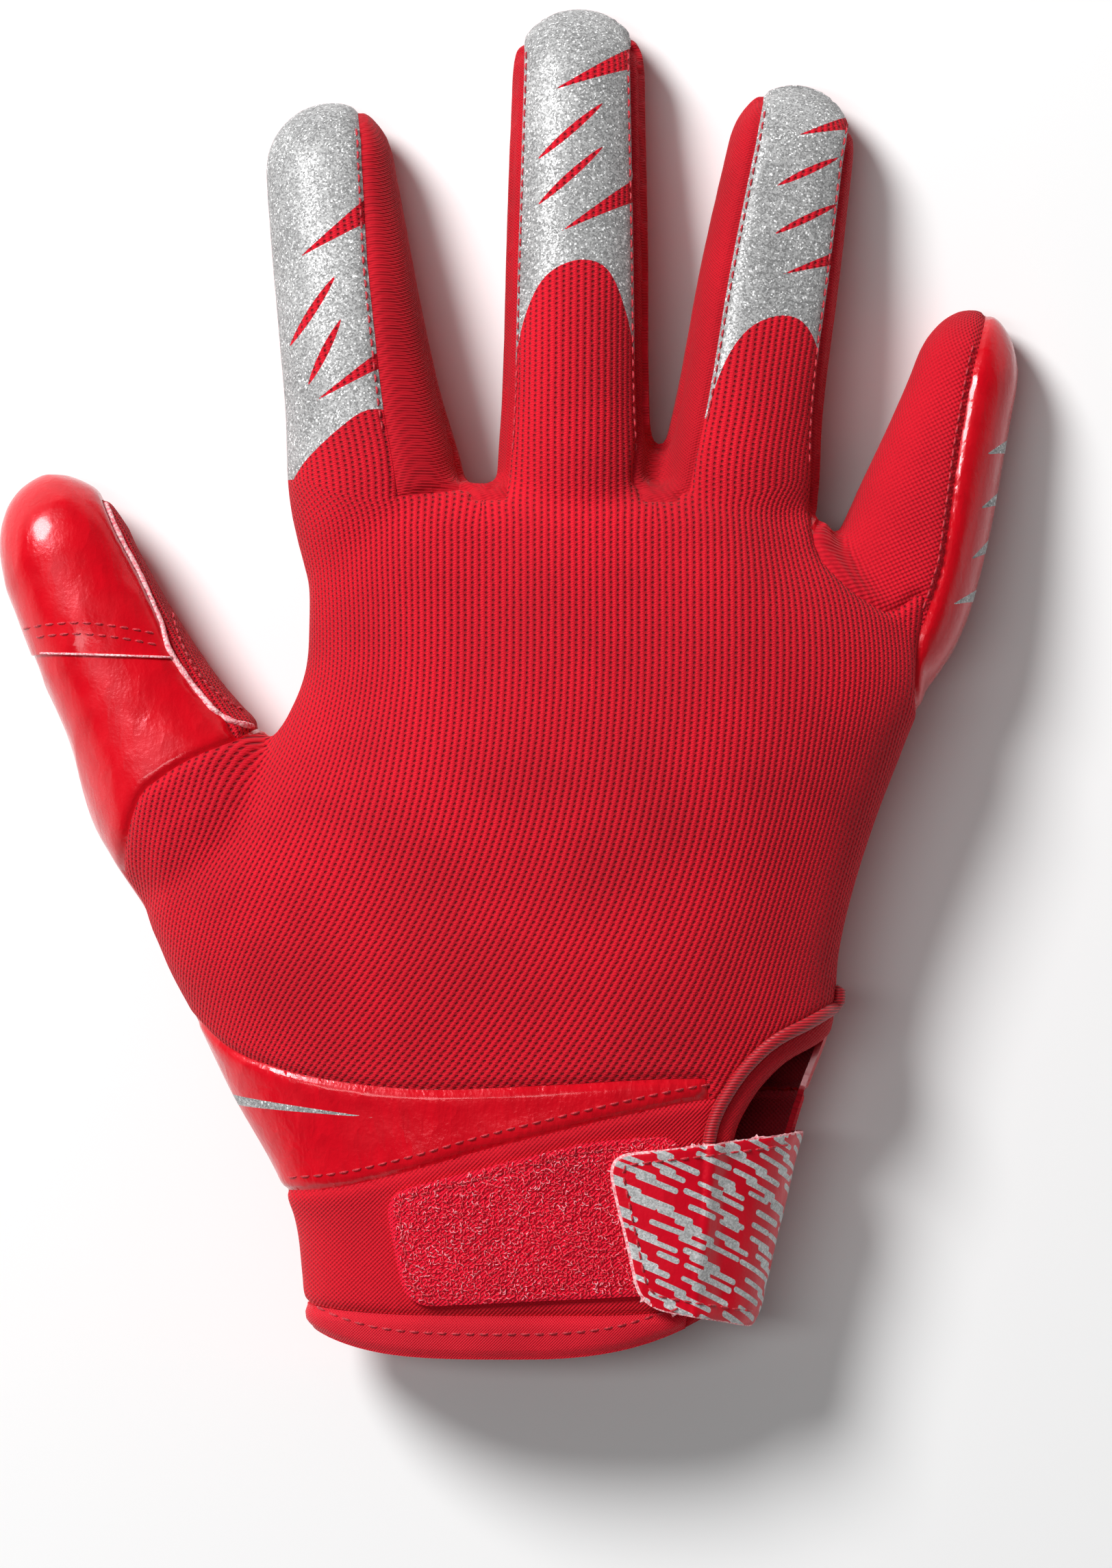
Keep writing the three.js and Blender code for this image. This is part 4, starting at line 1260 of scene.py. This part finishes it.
def skin_part(cutter, size):
    """A copy of the skin inside a cut, with no edge much longer than size."""
    rows = np.hstack([skin, skin_normal, skin, np.zeros((len(skin), 2))])
    rows[:, GAP] = cutter(skin)
    rows, tri, inner = split(rows, skin_tri, GAP)
    rows, tri = compact(rows, tri[inner])

    def halves(a, b):
        return np.where(np.linalg.norm(rows[a, PLACE] - rows[b, PLACE], axis=1) > size, 0.5, np.nan)

    for _ in range(3):
        rows, tri = divide(rows, tri, halves)
    return rows, tri


PATCH_HEIGHT = 1.5
PATCH = rounded([(-0.235, 0.06), (0.195, 0.075), (0.2, 0.257), (0.05, 0.25), (-0.27, 0.19)], 5)
rows, tri = skin_part(lambda p: np.where(p[:, 2] > 20, inside(PATCH, p), -9), 0.8)
gap = inside(PATCH, rows[:, FLAT])
edge_dip, stitch_dip = 0.35 * np.exp(-((gap / 0.7) ** 2)), 0.25 * np.exp(-(((gap - 1.7) / 0.5) ** 2))
rows[:, PLACE] += rows[:, NORMAL] * (PATCH_HEIGHT - edge_dip - stitch_dip)[:, None]
pad_cloth = cloth_material(
    "loop backing", PLAIN_WEAVE, rgb(238, 14, 50), rgb(160, 0, 28), 0.3, Warp=0.8, Weft=0.7
)
dress("loop_patch", "loop_pile", (rows, tri), [pad_cloth])

# A loop is a bow of wire with a triangular section, of random width, height and lean.
LOOP_PITCH = 0.72
BOW_POINTS = 6
bow_angle = np.linspace(0.0, math.pi, BOW_POINTS)[:, None]
bow_faces = [
    [3 * i + k, 3 * i + (k + 1) % 3, 3 * i + 3 + (k + 1) % 3, 3 * i + 3 + k]
    for i in range(BOW_POINTS - 1) for k in range(3)
]
bow_faces += [[2, 1, 0], [3 * BOW_POINTS - 3, 3 * BOW_POINTS - 2, 3 * BOW_POINTS - 1]]

rng = np.random.default_rng(21)
low, high = PATCH.min(0), PATCH.max(0)
grid = np.meshgrid(np.arange(low[0], high[0], LOOP_PITCH), np.arange(low[1], high[1], LOOP_PITCH))
grid = np.stack(grid, -1).reshape(-1, 2)
grid = grid + rng.uniform(-0.3, 0.3, grid.shape)
pad_tree = tree_of(outer_faces[-1:])
bows = []
for x, y in grid[inside(PATCH, grid) > 0.45]:
    hit, normal = drop(pad_tree, x, y)
    if hit is None:
        continue
    turn = rng.uniform(0, 2 * math.pi)
    flat = np.array([math.cos(turn), math.sin(turn), 0.0])
    flat -= normal * (flat @ normal)
    lean = normal + 0.7 * rng.uniform(-1, 1) * np.cross(normal, flat)
    wide, tall = rng.uniform(0.22, 0.42), rng.uniform(0.25, 0.55)
    wire = rng.uniform(0.075, 0.115)
    bow = hit + np.cos(bow_angle) * wide * flat + (np.sin(bow_angle) * tall - 0.05) * lean
    outward = wire * (np.cos(bow_angle) * flat + np.sin(bow_angle) * lean)
    sideways = 0.87 * wire * unit(np.cross(lean, flat))
    ring = [bow + outward, bow - 0.5 * outward + sideways, bow - 0.5 * outward - sideways]
    bows.append((np.stack(ring, 1).reshape(-1, 3), bow_faces))
pile, tree, shader, _, place = new_material("loop pile", roughness=0.45, sheen=0.3)
red, green = cells(tree, place, 1.1)[:2]
# The pale pink on a share of the loops is painted highlight, the glints of the pile.
paint(tree, shader, red, 0.5, 1.0, rgb(242, 22, 60), rgb(255, 160, 172))
add_bump(tree, shader, green, 0.05)
smooth_piece("loop_pile", joined(bows), pile, "loop_pile")


# Strap: coated cloth that wraps round the outer side of the wrist and lies over the patch, the piping
# and the open vent. Printed with slanted silver dashes that run into each other. Its cut edge is pale.

STRAP_CORNERS = [(0.127, 0.062), (0.32, 0.035), (0.62, -0.01), (0.62, 0.282), (0.407, 0.2605), (0.077, 0.236)]
STRAP_CORNER_RADIUS = 4.5
STRAP_LIFT = 1.65
STRAP = rounded(STRAP_CORNERS, STRAP_CORNER_RADIUS)
STRAP_UNDER = rounded([(max(0.16, a), b) for a, b in STRAP_CORNERS], STRAP_CORNER_RADIUS)
rows, tri = skin_part(lambda p: np.where(p[:, 2] > SIDE_SEAM, inside(STRAP, p), inside(STRAP_UNDER, p)), 0.8)
rows, tri = compact(rows, largest(rows, tri)[0])
rows[:, GAP] = rim_distance(rows, tri)
rows, tri = cut_rings(rows, tri, (0.25, 0.5))

# How high it lies over the skin: its own thickness and a gap, and more over the patch, the cord and the hem
p = rows[:, FLAT]
on_top = smoothstep(17, 22, p[:, 2])
over_patch = 1.3 * (1 - smoothstep(23.5, 28.5, p[:, 0])) * on_top
over_cord = 1.5 * np.exp(-((segment_distance(p, vent_curve) / 2.2) ** 2)) * on_top
over_hem = 0.6 * smoothstep(-3, 1, below_hem(p))
lift = STRAP_LIFT + np.maximum(over_patch, over_cord) + over_hem - 0.25 * np.exp(-((rows[:, GAP] / 0.4) ** 2))
rows[:, PLACE] += rows[:, NORMAL] * lift[:, None]
rows[:, 2] = np.maximum(rows[:, 2], FLOOR_GAP)

# The dashes stand in slanted rows, in chains of one to three that step down and run into each other.
DASH_SLOPE = math.radians(-21)
DASH_ROW_PITCH = 2.35
dash_way = np.array([math.cos(DASH_SLOPE), math.sin(DASH_SLOPE)])
dash_rng = random.Random(5)
dashes = []
row_offset = -4.0
while row_offset < 70:
    along = -14 + dash_rng.uniform(-6, 0)
    while along < 90:
        start = along
        for step in range(dash_rng.choice((1, 2, 2, 3))):
            length = dash_rng.uniform(3.5, 8.5)
            dashes.append((start, start + length, row_offset - 0.75 * step, dash_rng.uniform(0.42, 0.55)))
            start += length - dash_rng.uniform(1.2, 3.2)
        along = start + dash_rng.uniform(3.0, 5.5)
    row_offset += DASH_ROW_PITCH


def dash_field(p):
    """Positive inside the printed dashes."""
    x, z, half, deep = palm_section(p[:, 1])
    flat_x = p[:, 0] + 0.9 * np.maximum(0, z + deep - p[:, 2]) * (p[:, 0] > x)
    along = flat_x * dash_way[0] + p[:, 1] * dash_way[1]
    level = -flat_x * dash_way[1] + p[:, 1] * dash_way[0]
    value = np.full(len(p), UNPRINTED)
    for start, end, row, width in dashes:
        past = np.maximum(0, np.maximum(start - along, along - end))
        value = np.maximum(value, width - np.hypot(past, level - row))
    return value


rows, tri, printed = imprint(rows, tri, dash_field, ((0.3, 0.36),))
middle = rows[tri, FLAT].mean(1)
raw_width = np.where(middle[:, 0] < 16, 0.5, 0.25)  # broader round the loose end
raw = (rows[tri, GAP].mean(1) < raw_width) & (middle[:, 2] > 19)
strap_coat = leather_material(
    "coated strap", rgb(216, 6, 34), rgb(175, 0, 20), 0.15, roughness=0.34, coat=0.2
)
# The strap's print has fainter painted glints than the fingertips'.
strap_silver = glitter_material("strap silver", 0.42, 0.7, 0.15)
raw_edge, tree, shader, _, place = new_material("raw cut edge", roughness=0.8)
frayed = noise(tree, place, 2.2, 3)
paint(tree, shader, frayed, 0.3, 0.7, rgb(226, 92, 110), rgb(252, 214, 214))
add_bump(tree, shader, frayed, 0.2)
strap_materials = [strap_coat, lining, strap_silver, lining, raw_edge, raw_edge]
strap_slots = np.where(raw, 4, np.where(printed, 2, 0))
strap = put_together("strap", rows, tri, plan_weave(rows[:, FLAT]), strap_materials, 1.0, strap_slots)
finished(strap, "strap_fabric", "strap")


# Raw leather edges: the leather is cut and not folded over, so its pale edge shows along the thumb's
# seam down to its web, and along its lap.

glove_tree = tree_of(outer_faces)


def photo_line(points):
    return spline([pixel(*q) for q in points], 12)


def finger_line(name, share_line, inset, first, last):
    """A line along a finger at an inset from one of its seams."""
    along = np.linspace(first, last, 60) * FINGERS[name].length
    share = read_share(share_line, along / FINGERS[name].length)
    side = share * finger_section(name, along)[0] + inset
    return np.stack(on_finger(name, along, side), 1)


LAP_ENDS = [(-132, 123.9), (-51.7, 120.9)]  # the line of the thumb's lap, in mm
WEB_EDGE = [(310, 1034), (336, 1052), (372, 1062), (412, 1066)]  # in the photograph's pixels
thumb_seam = finger_line("thumb", SEAMS["thumb"][1], -0.25, 0.46, 0.97)[::-1]
to_web = photo_line(WEB_EDGE)
lap_x = np.linspace(-95, -67, 30)
lap_line = np.stack([lap_x, np.interp(lap_x, *np.transpose(LAP_ENDS)) + 0.15], 1)
edges = []
for outline, radius in ((np.vstack([thumb_seam, to_web]), 0.55), (lap_line, 0.2)):
    hits = [drop(glove_tree, x, y) for x, y in outline]
    line = np.array([hit + 0.1 * normal for hit, normal in hits if hit is not None])
    jumps = np.flatnonzero(np.abs(np.diff(line[:, 2])) > 1.2) + 1  # where it would fall off the leather
    line = max(np.split(line, jumps), key=len)
    for _ in range(4):
        line[1:-1] = (line[:-2] + 2 * line[1:-1] + line[2:]) / 4
    edges.append(tube(line, radius * (1 + 0.18 * waves(line, 2.5, 4)), 8))
smooth_piece("leather_edges", joined(edges), raw_edge, "grip_leather")


# Stitching: rows of separate stitches in dark red thread, along the seams, the hem, the patch and the
# strap. Each is a short round thread that dips in at both ends, laid on the finished surface.

# Rows along the thumb's lap, and down the thumb's rim to its web, in the photograph's pixels
LAP_STITCHES = [
    [(30, 919), (70, 913), (127, 911), (185, 918), (234, 928)],
    [(34, 935), (70, 929), (127, 927), (185, 934), (236, 944)],
]
RIM_STITCHES = [(168, 742), (212, 788), (238, 850), (255, 912), (276, 962), (306, 1002), (352, 1036),
                (400, 1048)]

cuff_line = seam_curve(CUFF_SEAM)
band_x = np.linspace(-47, 26.5, 80)
band_line = np.stack([band_x, np.interp(band_x, cuff_line[:, 0], cuff_line[:, 1]) + 2.6], 1)
hem_x = np.linspace(-42, 21, 80)
hem_line = np.stack([hem_x, below_mouth(np.stack([hem_x, 0 * hem_x], 1)) + 4.5], 1)
strap_line = offset_line(np.vstack([STRAP[28:], STRAP[:14]]), -2.3)  # along the top, round the end and back
patch_line = offset_line(np.vstack([PATCH, PATCH[:1]]), -1.7)
patch_line = np.roll(patch_line[:-1], -20, axis=0)
patch_line = patch_line[inside(STRAP, patch_line) < -0.8]
ROWS = [  # each row's line and the pitch of its stitches
    (finger_line("index", SEAMS["index"][1], -0.85, 0.3, 0.93), 2.1),
    (finger_line("middle", SEAMS["middle"][0], 0.85, 0.22, 0.93), 2.1),
    (finger_line("middle", SEAMS["middle"][1], -0.85, 0.22, 0.93), 2.1),
    (finger_line("ring", SEAMS["ring"][0], 0.85, 0.3, 0.93), 2.1),
    (finger_line("ring", SEAMS["ring"][1], -0.85, 0.25, 0.93), 2.1),
    (finger_line("little", SEAMS["little"][1], -1.2, 0.25, 0.9), 2.1),
    (photo_line(LAP_STITCHES[0]), 2.2),
    (photo_line(LAP_STITCHES[1]), 2.2),
    (band_line, 2.3),
    (hem_line, 2.4),
    (patch_line, 2.2),
    (strap_line, 2.2),
    (photo_line(RIM_STITCHES), 1.5),
]


def stitch(centre, way, normal, length, radius=0.2):
    """A short round stitch that dips in at both ends."""
    t = np.linspace(-1, 1, 5)
    line = centre + np.outer(t * length / 2, way) + np.outer(0.16 - 0.26 * t**4, normal)
    return tube(line, radius * np.array([0.55, 0.95, 1, 0.95, 0.55]), 6)


made = []
for line, pitch in ROWS:
    walked = np.concatenate([[0], np.cumsum(np.linalg.norm(np.diff(line, axis=0), axis=1))])
    for spot in np.arange(pitch / 2, walked[-1], pitch):
        ends = [
            drop(glove_tree, *(np.interp(spot + k * pitch, walked, line[:, i]) for i in (0, 1)))
            for k in (-0.3, 0.3)
        ]
        if any(hit is None for hit, _ in ends):
            continue
        (start, start_normal), (end, end_normal) = ends
        length = np.linalg.norm(end - start)
        if length > 1.6 * pitch:
            continue
        normal = unit(start_normal + end_normal)
        made.append(stitch((start + end) / 2, unit(end - start), normal, 1.15 * length))
thread, tree, shader, _, place = new_material("thread", roughness=0.55, sheen=0.2)
strand = noise(tree, place, 3.0, 2)
paint(tree, shader, strand, 0.3, 0.7, rgb(140, 0, 20), rgb(214, 34, 54))
add_bump(tree, shader, strand, 0.08)
smooth_piece("stitching", joined(made), thread, "grip_leather")


# Camera, light and floor: straight down on the glove, soft light from the upper left.

VIEW_MIDDLE = (0.0084, -0.01854, 0.018)  # metres in the shared frame, at half the glove's height
HALF_VIEW = 0.1374
CAMERA_DISTANCE = 1.2
LIGHT_AIM = (0, 0, 0.01)

camera_data = bpy.data.cameras.new("camera")
camera = bpy.data.objects.new("camera", camera_data)
bpy.context.scene.collection.objects.link(camera)
camera.location = (VIEW_MIDDLE[0], VIEW_MIDDLE[1], VIEW_MIDDLE[2] + CAMERA_DISTANCE)
camera_data.sensor_fit = "VERTICAL"
camera_data.angle_y = 2 * math.atan(HALF_VIEW / CAMERA_DISTANCE)
bpy.context.scene.camera = camera


def area_light(name, place, size, watts):
    """An oval soft light, turned to the glove."""
    data = bpy.data.lights.new(name, "AREA")
    data.shape = "ELLIPSE"
    data.size, data.size_y = size
    data.energy = watts
    lamp = bpy.data.objects.new(name, data)
    bpy.context.scene.collection.objects.link(lamp)
    lamp.location = place
    lamp.rotation_euler = (Vector(LIGHT_AIM) - Vector(place)).to_track_quat("-Z", "Y").to_euler()


area_light("key", (-0.85, 0.85, 1.1), (0.6, 0.6), 33)
area_light("overhead", (-0.33, 0.02, 1.3), (0.24, 0.85), 3.6)
world = bpy.data.worlds.new("studio")
bpy.context.scene.world = world
world.use_nodes = True
sky = world.node_tree
direction = sky.nodes.new("ShaderNodeTexCoord")
height = sky.nodes.new("ShaderNodeSeparateXYZ")
sky.links.new(direction.outputs["Generated"], height.inputs[0])
softboxes = band_pass(sky, height.outputs[2], 0.04, 0.42, 0.9, 0.08)
sky.nodes["Background"].inputs["Color"].default_value = (1, 1, 1, 1)
sky.links.new(softboxes, sky.nodes["Background"].inputs["Strength"])
bpy.context.scene.view_settings.view_transform = "Standard"

FLOOR_REACH = 2500
floor_verts = [(FLOOR_REACH * x, FLOOR_REACH * y, 0) for x, y in ((-1, -1), (1, -1), (1, 1), (-1, 1))]
floor = new_object("floor", floor_verts, [[0, 1, 2, 3]], shift=False)
floor_paint = bpy.data.materials.new("floor paper")
floor_paint.use_nodes = True
floor_shader = floor_paint.node_tree.nodes["Principled BSDF"]
floor_shader.inputs["Base Color"].default_value = (0.9, 0.9, 0.9, 1)
floor_shader.inputs["Roughness"].default_value = 0.9
floor.data.materials.append(floor_paint)
